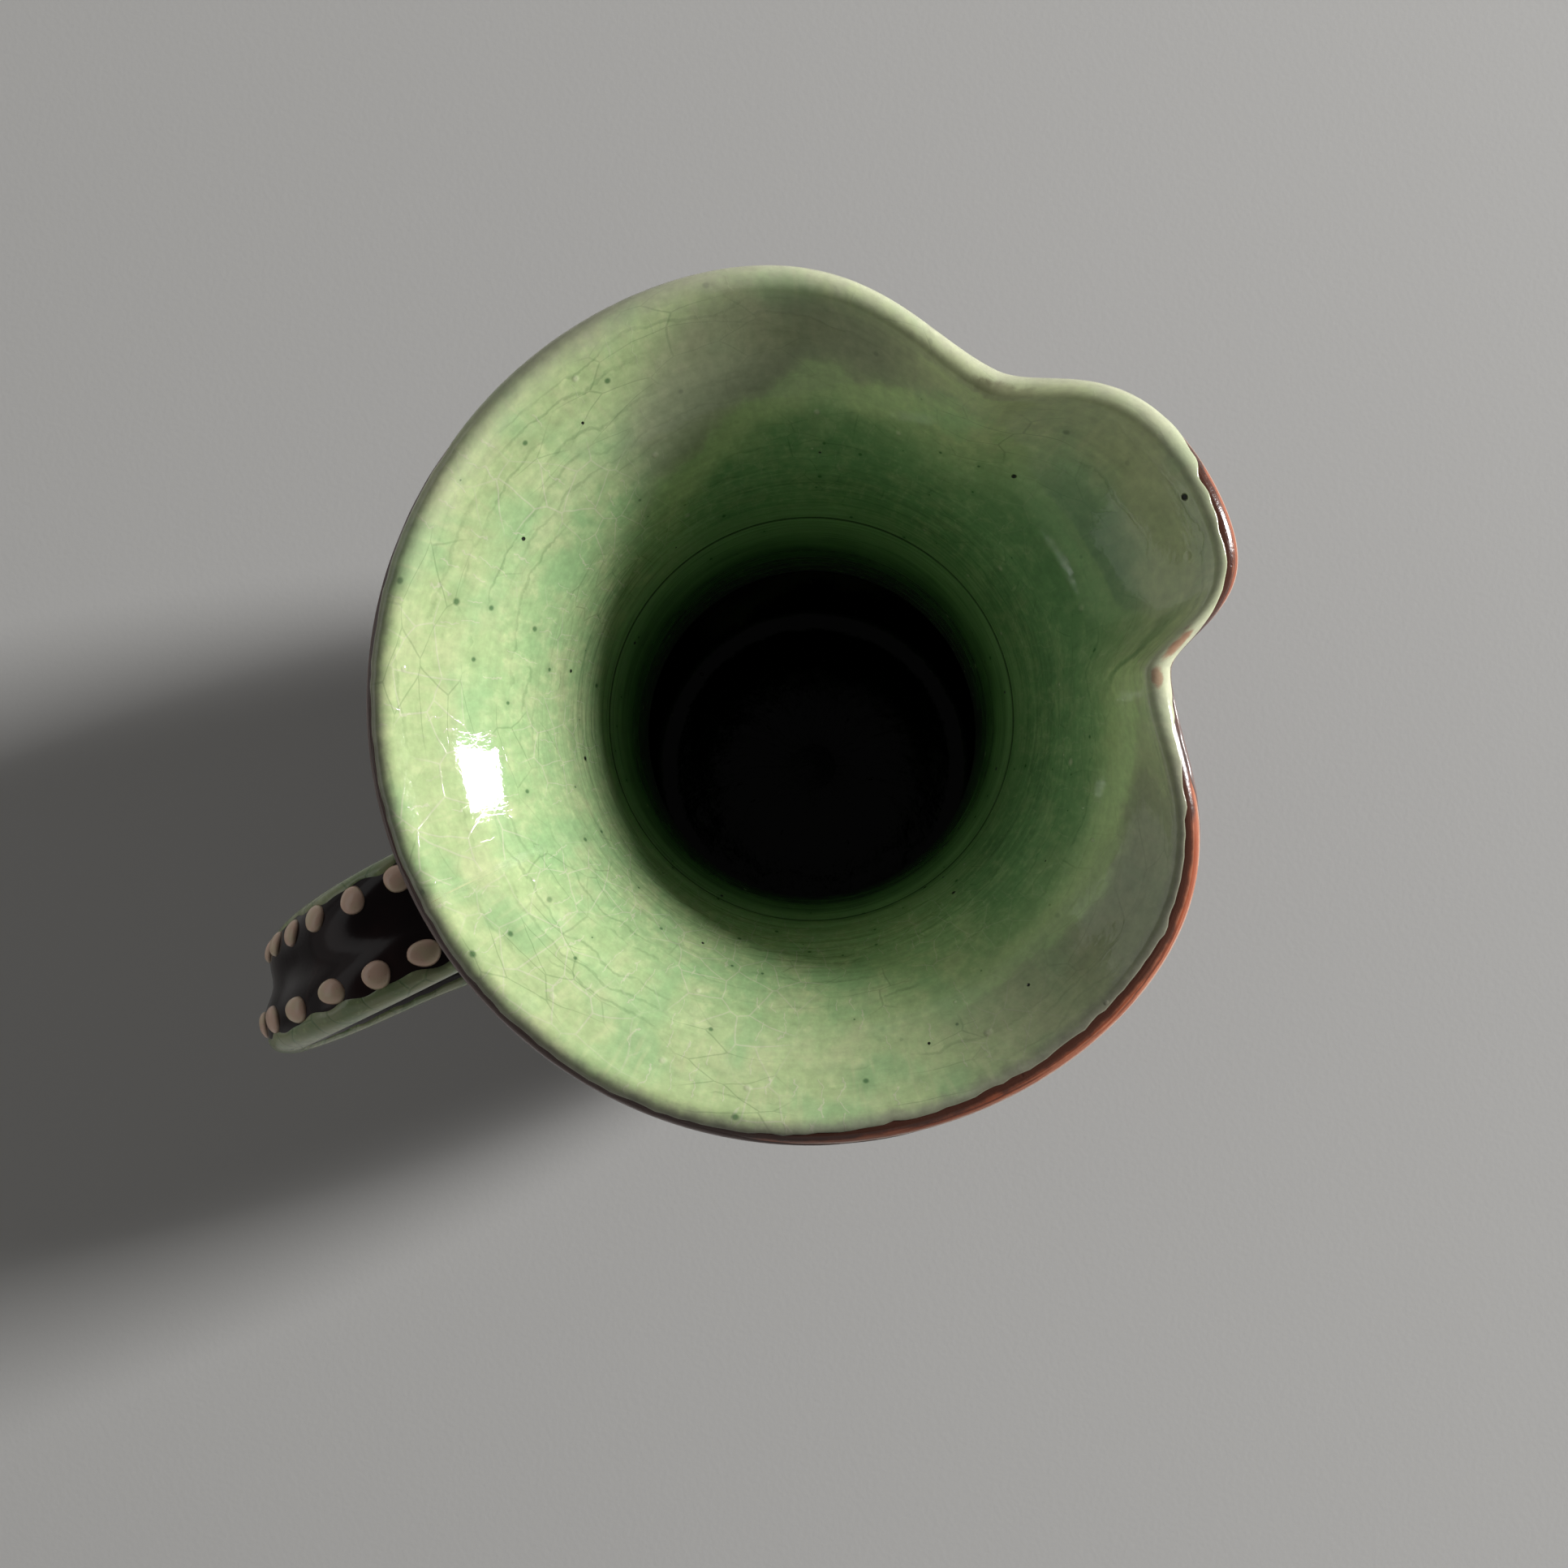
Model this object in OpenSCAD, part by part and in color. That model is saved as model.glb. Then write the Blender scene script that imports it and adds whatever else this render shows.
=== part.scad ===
// Hand-thrown earthenware pouring jug: round belly, narrow neck, flared mouth with one
// pulled lip, and a pulled strap handle set with dots of slip.
// The origin is the middle of the base, +Z is up, +X runs out over the lip, the handle is at -X.

/* [Vessel] */
// Height from the table to the top of the round rim
jug_height = 195; // [188:1:206]
// Radius of the flat base
base_radius = 38; // [34:0.5:42]
// Thickness of the floor under the hollow
base_thickness = 7; // [5:0.5:9]
// Height of the small bevel round the foot
foot_bevel = 1.2; // [0.6:0.1:2]
// Height of the band of clay left bare at the foot
bare_foot = 9; // [5:0.5:14]
// Length of the rounded corner between the floor and the wall, inside
floor_fillet = 9; // [5:0.5:12]
// Outside radius of the clay at the widest part of the belly
belly_radius = 62; // [58:0.5:66]
// Height of the widest part of the belly
belly_height = 64; // [56:1:70]
// Outside radius of the clay at the throat
throat_radius = 30.5; // [28:0.5:32]
// Height of the throat, where the neck is narrowest
throat_height = 122; // [116:1:128]
// Thickness of the clay wall
wall = 4.5; // [3.6:0.1:5.4]

/* [Mouth] */
// Height of the ring where the mouth joins the neck
seam_height = 155; // [151:1:160]
// Outside radius of the clay at that ring
seam_radius = 33; // [31.5:0.1:34.5]
// Lean of the wall at that ring, in degrees from upright
seam_lean = 15; // [10:1:20]
// Outside radius of the round rim
rim_radius = 55.4; // [51:0.2:58]
// Lean of the wall at the rim, in degrees from upright
rim_lean = 52; // [44:1:60]
// Thickness of the clay at the rim
rim_wall = 4.6; // [3.4:0.1:5.2]

/* [Lip] */
// How far the tip of the lip stands out past the round rim
lip_reach = 1.5; // [0.5:0.1:3]
// How far the tip of the lip stands up above the round rim
lip_rise = 1.6; // [0.4:0.1:3]
// Spread of the lip to each side of its tip, in degrees
lip_spread = 20; // [14:1:26]
// How quickly the lip fades out towards the neck, as a power
lip_fade = 2.4; // [2:0.1:3]
// Angle of the left finger pinch from the tip of the lip, in degrees
left_pinch_angle = 31.5; // [28:0.5:36]
// Depth of the left pinch
left_pinch_depth = 8.3; // [4:0.1:10]
// Spread of the left pinch towards the lip, in degrees
left_pinch_inner = 12.5; // [10:0.5:15]
// Spread of the left pinch away from the lip, in degrees
left_pinch_outer = 22; // [18:1:28]
// Angle of the right finger pinch from the tip of the lip, in degrees
right_pinch_angle = 25; // [22:0.5:32]
// Depth of the right pinch
right_pinch_depth = 10.6; // [5:0.1:12]
// Spread of the right pinch towards the lip, in degrees
right_pinch_inner = 8; // [7:0.5:12]
// Spread of the right pinch away from the lip, in degrees
right_pinch_outer = 24; // [18:1:28]

/* [Handle] */
// Turn of the handle away from straight behind the lip, in degrees
handle_turn = 2.5; // [-6:0.5:6]
// Height of the strap's middle where it leaves the neck
handle_root_height = 144; // [140:1:147]
// Rise of the strap as it leaves the neck, in degrees
handle_root_rise = 32; // [15:1:45]
// Height of the strap's middle at its crest
handle_crest_height = 155; // [150:1:160]
// Distance of the crest from the axis of the jug
handle_crest_reach = 62; // [58:1:66]
// Distance of the strap's outer face from the axis where it stands out furthest
handle_reach = 92; // [86:1:96]
// Height where the strap stands out furthest
handle_bend_height = 129; // [122:1:136]
// Height of the strap's middle where it lands on the belly
handle_foot_height = 78; // [74:1:86]
// Slope of the strap as it lands on the belly, in degrees below level
handle_foot_slope = 38; // [20:1:55]
// Width of the strap
strap_width = 18.5; // [16:0.5:22]
// Thickness of the strap
strap_thickness = 8; // [6.5:0.5:9.5]
// Depth of the thumb channel along the middle of the strap
channel_depth = 1.2; // [0.4:0.1:1.8]
// Width of that channel
channel_width = 6; // [5:0.5:9]
// Roll of the strap about its own line where it bends down, in degrees
strap_roll = 30; // [0:1:36]
// Extra width of the strap where it is pressed onto the neck
root_spread = 1.5; // [0:0.5:5]
// Extra width of the strap where it is pressed onto the belly
foot_spread = 4; // [0:0.5:6]
// Length of strap that each collar of luting clay covers
lute_length = 13; // [9:1:16]
// How far the luting clay spreads round each end of the strap
lute_width = 3.5; // [2:0.5:5]

/* [Slip and glaze] */
// Thickness of the green glaze that lines the inside
glaze = 0.5; // [0.3:0.1:0.9]
// Thickness of the dark slip on the outside
slip = 0.4; // [0.2:0.1:0.8]
// Thickness of the green glaze along the edges of the strap
edge_glaze = 0.35; // [0.2:0.05:0.6]
// Diameter of a dot of trailed slip
dot_diameter = 4.2; // [3:0.1:5]
// Height of a dot above the strap
dot_height = 0.9; // [0.5:0.1:1.4]
// Distance from one dot to the next along its row
dot_pitch = 6.8; // [5.2:0.1:9]
// Distance of each row of dots from the middle of the strap
dot_row_offset = 5.6; // [4.2:0.1:6]
// Depth that a dot beds into the wet slip under it
dot_bed = 0.25; // [0.1:0.05:0.4]

/* [Hidden] */

red_clay = [0.62, 0.27, 0.15];
dark_slip = [0.14, 0.09, 0.08];
green_glaze = [0.45, 0.62, 0.34];
cream_slip = [0.72, 0.58, 0.46];

$fn = 96;
// Steps along each stretch of the profile
foot_steps = 3;
belly_steps = 10;
shoulder_steps = 14;
neck_steps = 7;
fillet_steps = 5;
mouth_steps = 10;
crown_steps = 5;
// Steps round the mouth, which crowd together near the lip by this share
turn_steps = 64;
crowd_share = 0.45;
// Steps along and round the strap
curve_steps = 24;
strap_steps = 24;
lute_steps = 4;
section_steps = 32;
dot_steps = 4;
// Shares of the strap's end faces at which their rings lie
cap_shares = [0.25, 0.5, 0.75];

// Curve handles, as shares of the stretch that they shape
foot_lean_share = 0.52;
foot_lift_share = 0.28;
belly_pull_share = 0.46;
shoulder_pull_share = 0.55;
throat_pull_share = 0.42;
neck_pull_share = 0.36;
ring_pull_share = 0.6;
rim_pull_share = 0.45;
root_pull_share = 0.26;
handle_pull_share = 0.52;
landing_pull_share = 0.26;
// How square the strap's sides and faces are, as powers of a round section
side_power = 0.8;
face_power = 0.7;
// How closely the strap's roll keeps to its bend, as a power
roll_power = 4;
// Reach of the green edge over and under the side of the strap, in steps of its section
edge_steps_over = 4;
edge_steps_under = 3;

// Half thickness of the rim, which is rounded over to that radius
crown = rim_wall / 2;
strap_reach = handle_reach - strap_thickness / 2;

// Unit direction, in the plane of the profile, at an angle from upright
function leaning(angle) = [sin(angle), cos(angle)];

// Cubic curve through four control points, its direction, and a point set in from it
function curve_at(c, t) =
    pow(1 - t, 3) * c[0] + 3 * t * pow(1 - t, 2) * c[1] + 3 * t * t * (1 - t) * c[2] + t * t * t * c[3];
function slope_at(c, t) =
    pow(1 - t, 2) * (c[1] - c[0]) + 2 * t * (1 - t) * (c[2] - c[1]) + t * t * (c[3] - c[2]);
function way_at(c, t) = slope_at(c, t) / norm(slope_at(c, t));
function inward(way) = [-way[1], way[0]];
function inset_at(c, t, depth) = curve_at(c, t) + depth * inward(way_at(c, t));

// Outside of the clay as radius and height: foot to belly, belly to throat, throat to ring, ring to rim
foot_start = [base_radius, foot_bevel];
belly_point = [belly_radius, belly_height];
throat_point = [throat_radius, throat_height];
seam_point = [seam_radius, seam_height];
rim_point = [
    rim_radius - crown * (1 - cos(rim_lean)),
    jug_height - crown * (1 + sin(rim_lean))
];
shoulder = throat_height - belly_height;
neck = seam_height - throat_height;
flare = norm(rim_point - seam_point);
belly_curve = [
    foot_start,
    foot_start + [foot_lean_share * (belly_radius - base_radius), foot_lift_share * belly_height],
    belly_point - [0, belly_pull_share * belly_height],
    belly_point
];
shoulder_curve = [
    belly_point,
    belly_point + [0, shoulder_pull_share * shoulder],
    throat_point - [0, throat_pull_share * shoulder],
    throat_point
];
neck_curve = [
    throat_point,
    throat_point + [0, neck_pull_share * neck],
    seam_point - neck_pull_share * neck * leaning(seam_lean),
    seam_point
];
mouth_curve = [
    seam_point,
    seam_point + ring_pull_share * flare * leaning(seam_lean),
    rim_point - rim_pull_share * flare * leaning(rim_lean),
    rim_point
];

// Where a rising curve passes a height, found by halving
function rise_at(c, height, low = 0, high = 1, tries = 24) =
    let (middle = (low + high) / 2)
    tries == 0 ? middle :
    curve_at(c, middle)[1] < height
        ? rise_at(c, height, middle, high, tries - 1)
        : rise_at(c, height, low, middle, tries - 1);
slip_start = rise_at(belly_curve, bare_foot);

// Lines set in from the outside by a depth: the bare foot, the coated wall, and both together
function foot_line(depth) =
    [for (i = [0 : foot_steps - 1]) inset_at(belly_curve, slip_start * i / foot_steps, depth)];
function coated_line(depth) = concat(
    [for (i = [0 : belly_steps - 1])
        inset_at(belly_curve, slip_start + (1 - slip_start) * i / belly_steps, depth)],
    [for (i = [0 : shoulder_steps - 1]) inset_at(shoulder_curve, i / shoulder_steps, depth)],
    [for (i = [0 : neck_steps]) inset_at(neck_curve, i / neck_steps, depth)]
);
function wall_line(depth) = concat(foot_line(depth), coated_line(depth));

// Inside of the hollow, set in by a depth: flat floor, rounded corner, then the wall up to the ring
function hollow_line(depth) =
    let (
        floor_height = base_thickness + depth - wall,
        side = [for (p = wall_line(depth)) if (p[1] > floor_height + floor_fillet) p],
        lean = (side[1] - side[0]) / (side[1][1] - side[0][1]),
        corner = side[0] - lean * (side[0][1] - floor_height),
        edge = corner - [floor_fillet, 0]
    )
    concat(
        [[0, floor_height]],
        [for (i = [0 : fillet_steps - 1])
            let (t = i / fillet_steps)
            pow(1 - t, 2) * edge + 2 * t * (1 - t) * corner + t * t * side[0]],
        side
    );

function reversed(list) = [for (i = [len(list) - 1 : -1 : 0]) list[i]];

// Faces of a skin through rings of points, closed along each ring and from the last ring to the first.
// A layer laid on another solid splits its squares the other way, so that its under face lies on that solid.
function loop_faces(rings, points, last, laid) = [
    for (i = [0 : last], j = [0 : points - 1])
        let (
            a = i * points + j,
            b = (i + 1) % rings * points + j,
            c = (i + 1) % rings * points + (j + 1) % points,
            d = i * points + (j + 1) % points
        )
        each (laid ? [[a, d, b], [d, c, b]] : [[a, c, b], [a, d, c]])
];
function flat_list(rings) = [for (ring = rings) each ring];

// Solid whose rings of points go right round and meet again
module looped_solid(rings, laid = false) {
    polyhedron(
        points = flat_list(rings),
        faces = loop_faces(len(rings), len(rings[0]), len(rings) - 1, laid)
    );
}

// Solid whose first and last ring are closed by a fan of faces
module capped_solid(rings) {
    points = len(rings[0]);
    last = (len(rings) - 1) * points;
    polyhedron(
        points = flat_list(rings),
        faces = concat(
            loop_faces(len(rings), points, len(rings) - 2, false),
            [for (j = [1 : points - 2]) [0, j + 1, j]],
            [for (j = [1 : points - 2]) [last, last + j, last + j + 1]]
        )
    );
}

// Laid strip whose rings run out along its top face and back along its under face, closed at both ends
module strip_solid(rings) {
    points = len(rings[0]);
    half = points / 2;
    last = (len(rings) - 1) * points;
    polyhedron(
        points = flat_list(rings),
        faces = concat(
            loop_faces(len(rings), points, len(rings) - 2, true),
            [for (j = [0 : half - 2])
                each [[j, points - 1 - j, j + 1], [j + 1, points - 1 - j, points - 2 - j]]],
            [for (j = [0 : half - 2])
                each [
                    [last + j, last + j + 1, last + points - 1 - j],
                    [last + j + 1, last + points - 2 - j, last + points - 1 - j]
                ]]
        )
    );
}

// Angles round the mouth, closer together near the lip at zero
turns = [
    for (i = [0 : turn_steps - 1])
        let (even = 360 * i / turn_steps)
        even - crowd_share * sin(even) * 180 / PI
];

// Bell of height one that is narrower on one side of its middle than on the other
function bell(x, below, above) = exp(-pow(x / (x < 0 ? below : above), 2));
function side_angle(turn) = turn > 180 ? turn - 360 : turn;
function lip_bell(turn) = bell(side_angle(turn), lip_spread, lip_spread);
function lip_pull(turn) =
    lip_reach * lip_bell(turn)
    - left_pinch_depth * bell(side_angle(turn) - left_pinch_angle, left_pinch_inner, left_pinch_outer)
    - right_pinch_depth * bell(side_angle(turn) + right_pinch_angle, right_pinch_outer, right_pinch_inner);

// Wall of the mouth, which changes evenly from the ring to the rim
function mouth_wall(t) = wall + t * (rim_wall - wall);

// Profile points of the mouth as radius, height and share of the lip's pull
function mouth_profile(t, depth) =
    let (p = inset_at(mouth_curve, t, depth)) [p[0], p[1], pow(t, lip_fade)];
function crown_profile(angle) =
    let (
        way = way_at(mouth_curve, 1),
        p = inset_at(mouth_curve, 1, crown) - crown * cos(angle) * inward(way) + crown * sin(angle) * way
    )
    [p[0], p[1], 1];
function pulled(p, turn) =
    let (radius = p[0] + p[2] * lip_pull(turn))
    [radius * cos(turn), radius * sin(turn), p[1] + p[2] * lip_rise * lip_bell(turn)];
function pulled_rings(profile) = [for (turn = turns) [for (p = profile) pulled(p, turn)]];
function mouth_line(wall_share, depth) = [
    for (i = [0 : mouth_steps])
        let (t = i / mouth_steps)
        mouth_profile(t, wall_share * mouth_wall(t) + depth)
];

// Radius of the coated outside at a height, from the foot to part way up the mouth
coat_table = concat(
    [for (p = coated_line(-slip)) [p[1], p[0]]],
    [for (i = [1 : mouth_steps]) let (p = inset_at(mouth_curve, i / mouth_steps, -slip)) [p[1], p[0]]]
);
function coat_radius(height) = lookup(height, coat_table);

// Middle line of the strap as distance from the axis and height: neck to crest, crest to bend, bend to belly
root_point = [coat_radius(handle_root_height), handle_root_height];
crest_point = [handle_crest_reach, handle_crest_height];
bend_point = [strap_reach, handle_bend_height];
foot_point = [coat_radius(handle_foot_height), handle_foot_height];
root_pull = root_pull_share * norm(crest_point - root_point);
bend_pull = handle_pull_share * (crest_point - bend_point);
foot_pull = handle_pull_share * norm(bend_point - foot_point);
landing_pull = landing_pull_share * norm(bend_point - foot_point);
strap_curves = [
    [
        root_point,
        root_point + root_pull * [cos(handle_root_rise), sin(handle_root_rise)],
        crest_point - [root_pull, 0],
        crest_point
    ],
    [crest_point, crest_point - [bend_pull[0], 0], bend_point + [0, bend_pull[1]], bend_point],
    [
        bend_point,
        bend_point - [0, foot_pull],
        foot_point + landing_pull * [cos(handle_foot_slope), sin(handle_foot_slope)],
        foot_point
    ]
];
function strap_part(s) = min(floor(s), len(strap_curves) - 1);
function strap_middle(s) = curve_at(strap_curves[strap_part(s)], s - strap_part(s));
function strap_way(s) = way_at(strap_curves[strap_part(s)], s - strap_part(s));

// Length run along the strap against the place on its three curves
path_steps = curve_steps * len(strap_curves);
function path_point(i) = strap_middle(min(i, path_steps) / curve_steps);
run_table = [
    for (i = 0, run = 0; i <= path_steps; run = run + norm(path_point(i + 1) - path_point(i)), i = i + 1)
        [run, i / curve_steps]
];
strap_run = run_table[path_steps][0];
bare_run = strap_run - 2 * lute_length;

// Width of the strap at a run, wider at both ends
function strap_width_at(run) =
    strap_width
    + root_spread * exp(-pow(run / lute_length, 2))
    + foot_spread * exp(-pow((strap_run - run) / lute_length, 2));

// Section of the strap at an angle round it: a squared oval with the thumb channel sunk in its outer face
function signed_pow(x, power) = sign(x) * pow(abs(x), power);
function section_at(angle, width, thickness) =
    let (
        across = width / 2 * signed_pow(cos(angle), side_power),
        through = thickness / 2 * signed_pow(sin(angle), face_power),
        sunk = sin(angle) > 0 ? channel_depth * exp(-pow(2 * across / channel_width, 2)) : 0
    )
    [across, through - sunk];

// Roll of the strap at a run, which is none at both ends, and a section point turned by it
function roll_at(run) = strap_roll * pow(sin(180 * run / strap_run), roll_power);
function rolled(q, roll) = [q[0] * cos(roll) - q[1] * sin(roll), q[0] * sin(roll) + q[1] * cos(roll)];

// Point of the strap's skin, grown outwards by an amount, with the section drawn in to a share of its size
function strap_point(run, angle, grow = 0, size_share = 1) =
    let (
        s = lookup(run, run_table),
        middle = strap_middle(s),
        way = strap_way(s),
        section = section_at(angle, strap_width_at(run) + 2 * grow, strap_thickness + 2 * grow),
        q = size_share * rolled(section, roll_at(run))
    )
    [middle[0] - q[1] * way[1], q[0], middle[1] + q[1] * way[0]];

// Point moved level onto the coated outside of the jug
function seated(p) = [sqrt(pow(coat_radius(p[2]), 2) - p[1] * p[1]), p[1], p[2]];

section_angles = [for (j = [0 : section_steps - 1]) -360 * j / section_steps];
function strap_ring(run, grow = 0) = [for (angle = section_angles) strap_point(run, angle, grow)];
function seat_ring(run, grow = 0, size_share = 1) =
    [for (angle = section_angles) seated(strap_point(run, angle, grow, size_share))];

lute_runs = [for (i = [0 : lute_steps]) lute_length * i / lute_steps];
bare_runs = [for (i = [0 : strap_steps]) lute_length + bare_run * i / strap_steps];

// Rings of a luting collar: out over the collar, which thins along the strap, and back along the strap
function lute_grow(i) = lute_width * pow(1 - i / lute_steps, 2);
function lute_ring(from_root, i, grow) =
    let (run = from_root ? lute_runs[i] : strap_run - lute_runs[i])
    i == 0 ? seat_ring(run, grow) : strap_ring(run, grow);
function lute_rings(from_root) = concat(
    [for (i = [0 : lute_steps]) lute_ring(from_root, i, lute_grow(i))],
    [for (i = [lute_steps - 1 : -1 : 0]) lute_ring(from_root, i, 0)]
);

// Sets a handle piece, made towards +X, at the back of the jug
module at_handle() {
    rotate([0, 0, 180 - handle_turn]) children();
}

// Thrown body: flat base, belly and neck up to the ring
module thrown_body() {
    color(red_clay)
        rotate_extrude()
            polygon(concat(
                [[0, 0], [base_radius - foot_bevel, 0]],
                wall_line(0),
                reversed(hollow_line(wall))
            ));
}

// Flared mouth with its rounded rim, pinched on both sides and pulled out to a lip
module flared_mouth() {
    color(red_clay)
        looped_solid(pulled_rings(concat(
            mouth_line(0, 0),
            [for (i = [1 : crown_steps - 1]) crown_profile(180 * i / crown_steps)],
            reversed(mouth_line(1, 0))
        )));
}

// Pulled strap handle, its ends shaped to the neck and the belly
module strap_handle() {
    color(dark_slip)
        at_handle()
            capped_solid(concat(
                [for (share = cap_shares) seat_ring(0, 0, share)],
                [seat_ring(0)],
                [for (i = [1 : lute_steps - 1]) strap_ring(lute_runs[i])],
                [for (run = bare_runs) strap_ring(run)],
                [for (i = [lute_steps - 1 : -1 : 1]) strap_ring(strap_run - lute_runs[i])],
                [seat_ring(strap_run)],
                [for (share = reversed(cap_shares)) seat_ring(strap_run, 0, share)]
            ));
}

// Collar of luting clay round the strap on the neck
module upper_lute() {
    color(dark_slip)
        at_handle()
            looped_solid(lute_rings(true), laid = true);
}

// Collar of luting clay round the strap on the belly
module lower_lute() {
    color(dark_slip)
        at_handle()
            looped_solid(reversed(lute_rings(false)), laid = true);
}

// One low dome of slip, bedded a little below its seat
module slip_dot() {
    rotate_extrude()
        polygon(concat(
            [[0, -dot_bed], [dot_diameter / 2, -dot_bed]],
            [for (i = [0 : dot_steps])
                [dot_diameter / 2 * cos(90 * i / dot_steps), dot_height * sin(90 * i / dot_steps)]]
        ));
}

// Row of slip dots along one ridge of the strap, on the side of the sign given
module dot_row(side) {
    count = floor(bare_run / dot_pitch);
    color(cream_slip)
        at_handle()
            for (i = [0 : count - 1]) {
                run = strap_run / 2 + (i - (count - 1) / 2) * dot_pitch;
                ridge = acos(pow(2 * dot_row_offset / strap_width_at(run), 1 / side_power));
                way = strap_way(lookup(run, run_table));
                translate(strap_point(run, side > 0 ? ridge : 180 - ridge))
                    rotate([0, atan2(-way[1], way[0]), 0])
                        rotate([roll_at(run), 0, 0])
                            slip_dot();
            }
}

module slip_dots_left() {
    dot_row(-1);
}

module slip_dots_right() {
    dot_row(1);
}

// Green glaze wrapped round one edge of the strap between the collars, on the side of the sign given
module edge_strip(side) {
    angles = [
        for (i = [edge_steps_over : -1 : -edge_steps_under])
            let (angle = 360 * i / section_steps)
            side > 0 ? angle : 180 - angle
    ];
    way_round = side > 0 ? angles : reversed(angles);
    color(green_glaze)
        at_handle()
            strip_solid([
                for (run = bare_runs)
                    concat(
                        [for (angle = way_round) strap_point(run, angle, edge_glaze)],
                        [for (angle = reversed(way_round)) strap_point(run, angle)]
                    )
            ]);
}

module edge_glaze_left() {
    edge_strip(-1);
}

module edge_glaze_right() {
    edge_strip(1);
}

// Green glaze over the floor and wall of the body
module body_lining() {
    color(green_glaze)
        rotate_extrude()
            polygon(concat(hollow_line(wall), reversed(hollow_line(wall + glaze))));
}

// Green glaze inside the mouth, up to the rounded rim
module mouth_lining() {
    color(green_glaze)
        looped_solid(pulled_rings(concat(mouth_line(1, 0), reversed(mouth_line(1, glaze)))), laid = true);
}

// Dark slip over the outside of the body, down to the bare foot
module body_slip() {
    color(dark_slip)
        rotate_extrude()
            polygon(concat(coated_line(-slip), reversed(coated_line(0))));
}

// Dark slip over the outside of the mouth, up to the rounded rim
module mouth_slip() {
    color(dark_slip)
        looped_solid(pulled_rings(concat(mouth_line(0, -slip), reversed(mouth_line(0, 0)))), laid = true);
}

thrown_body();
flared_mouth();
strap_handle();
upper_lute();
lower_lute();
slip_dots_left();
slip_dots_right();
edge_glaze_left();
edge_glaze_right();
body_lining();
mouth_lining();
body_slip();
mouth_slip();
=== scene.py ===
import math

import bpy
import numpy as np
from mathutils import Matrix, Vector


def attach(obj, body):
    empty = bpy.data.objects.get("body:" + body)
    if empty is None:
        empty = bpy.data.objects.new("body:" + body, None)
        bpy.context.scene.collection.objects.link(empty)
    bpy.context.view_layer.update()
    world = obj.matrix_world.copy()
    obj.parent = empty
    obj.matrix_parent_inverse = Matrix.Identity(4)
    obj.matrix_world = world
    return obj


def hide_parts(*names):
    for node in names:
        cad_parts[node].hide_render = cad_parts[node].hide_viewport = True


bl_info = {
    "name": "Hand-thrown pouring jug",
    "version": (1, 0, 0),
    "blender": (4, 5, 0),
    "location": "View3D > Sidebar > Jug",
    "description": "Clay wall, dark slip, crackled green glaze and dotted strap handle of a pouring jug",
    "category": "Add Mesh",
}

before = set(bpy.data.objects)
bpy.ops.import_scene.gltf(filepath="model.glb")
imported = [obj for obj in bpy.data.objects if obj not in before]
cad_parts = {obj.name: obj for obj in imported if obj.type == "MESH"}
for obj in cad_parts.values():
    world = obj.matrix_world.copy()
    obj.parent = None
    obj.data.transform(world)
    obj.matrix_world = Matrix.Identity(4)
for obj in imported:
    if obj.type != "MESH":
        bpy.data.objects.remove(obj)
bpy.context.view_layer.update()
MILLIMETRE = 0.001
# Least length that a direction is divided by
LEAST_STEP = 1e-9

# Points round the jug, and rows along each stretch of its outline
TURN_COUNT = 320
TURN_CROWD = 0.45
BELLY_ROWS, SHOULDER_ROWS, NECK_ROWS, MOUTH_ROWS = 20, 30, 26, 60
FLOOR_ROWS, FILLET_ROWS, CROWN_ROWS = 6, 9, 14
STRAP_ROWS, SECTION_COUNT, COLLAR_ROWS, STRIP_ACROSS = 190, 88, 22, 16
DOT_RINGS, DOT_SPOKES = 9, 24
# Rows of slip from its lower edge to the belly, and the power that crowds them at that edge
COAT_ROWS, COAT_ROW_POWER = 30, 1.7
# Hidden faces keep one row in so many of the shown ones
BACK_STEP, BACK_CROWN_STEP = 3, 2
# Points that stand for a curve where lengths or heights are looked up on it
PATH_SAMPLES, CURVE_SAMPLES = 120, 400
# Radius at which patterns on the lining are laid out flat
PATTERN_RADIUS = 0.045

# Curve handles, as shares of the stretch that they shape
FOOT_LEAN_SHARE, FOOT_LIFT_SHARE, BELLY_PULL_SHARE = 0.52, 0.28, 0.46
SHOULDER_PULL_SHARE, THROAT_PULL_SHARE, NECK_PULL_SHARE = 0.55, 0.42, 0.36
RING_PULL_SHARE, RIM_PULL_SHARE = 0.60, 0.45
ROOT_PULL_SHARE, HANDLE_PULL_SHARE, LANDING_PULL_SHARE = 0.26, 0.52, 0.26
# How square the strap's sides and faces are, as powers of a round section
SIDE_POWER, FACE_POWER = 0.8, 0.7
# How closely the roll of the strap keeps to its bend, as a power
ROLL_POWER = 4
# How squarely a thin layer ends at its edge, as a power
EDGE_POWER = 6

# Stretches of the mouth, as shares from the ring (0) to the rim (1): the wall makes room for the film
# over the rim, the layers thin down to that film, clear glaze begins, and the throwing rings fade
FILM_SHARES, THIN_SHARES, CLEAR_SHARES, CALM_SHARES = (0.85, 1.0), (0.8, 1.0), (0.7, 0.8), (0.6, 0.9)
# How deep the hidden faces and the ends of each layer lie in what is under them
LINING_BED, LINING_CROWN_BED, COAT_BED, COAT_EDGE_BED = 0.00006, 0.00008, 0.00010, 0.00015
FILM_EDGE_BED, STRAP_BED, COLLAR_BED, COLLAR_EDGE_BED = 0.0001, 0.0004, 0.0003, 0.00015

# Throwing rings outside: how far they bend, how often, and how far above the slip's edge they are full
RING_BEND, RING_DRIFT, RING_FADE = 0.3, 90, 0.01
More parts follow.
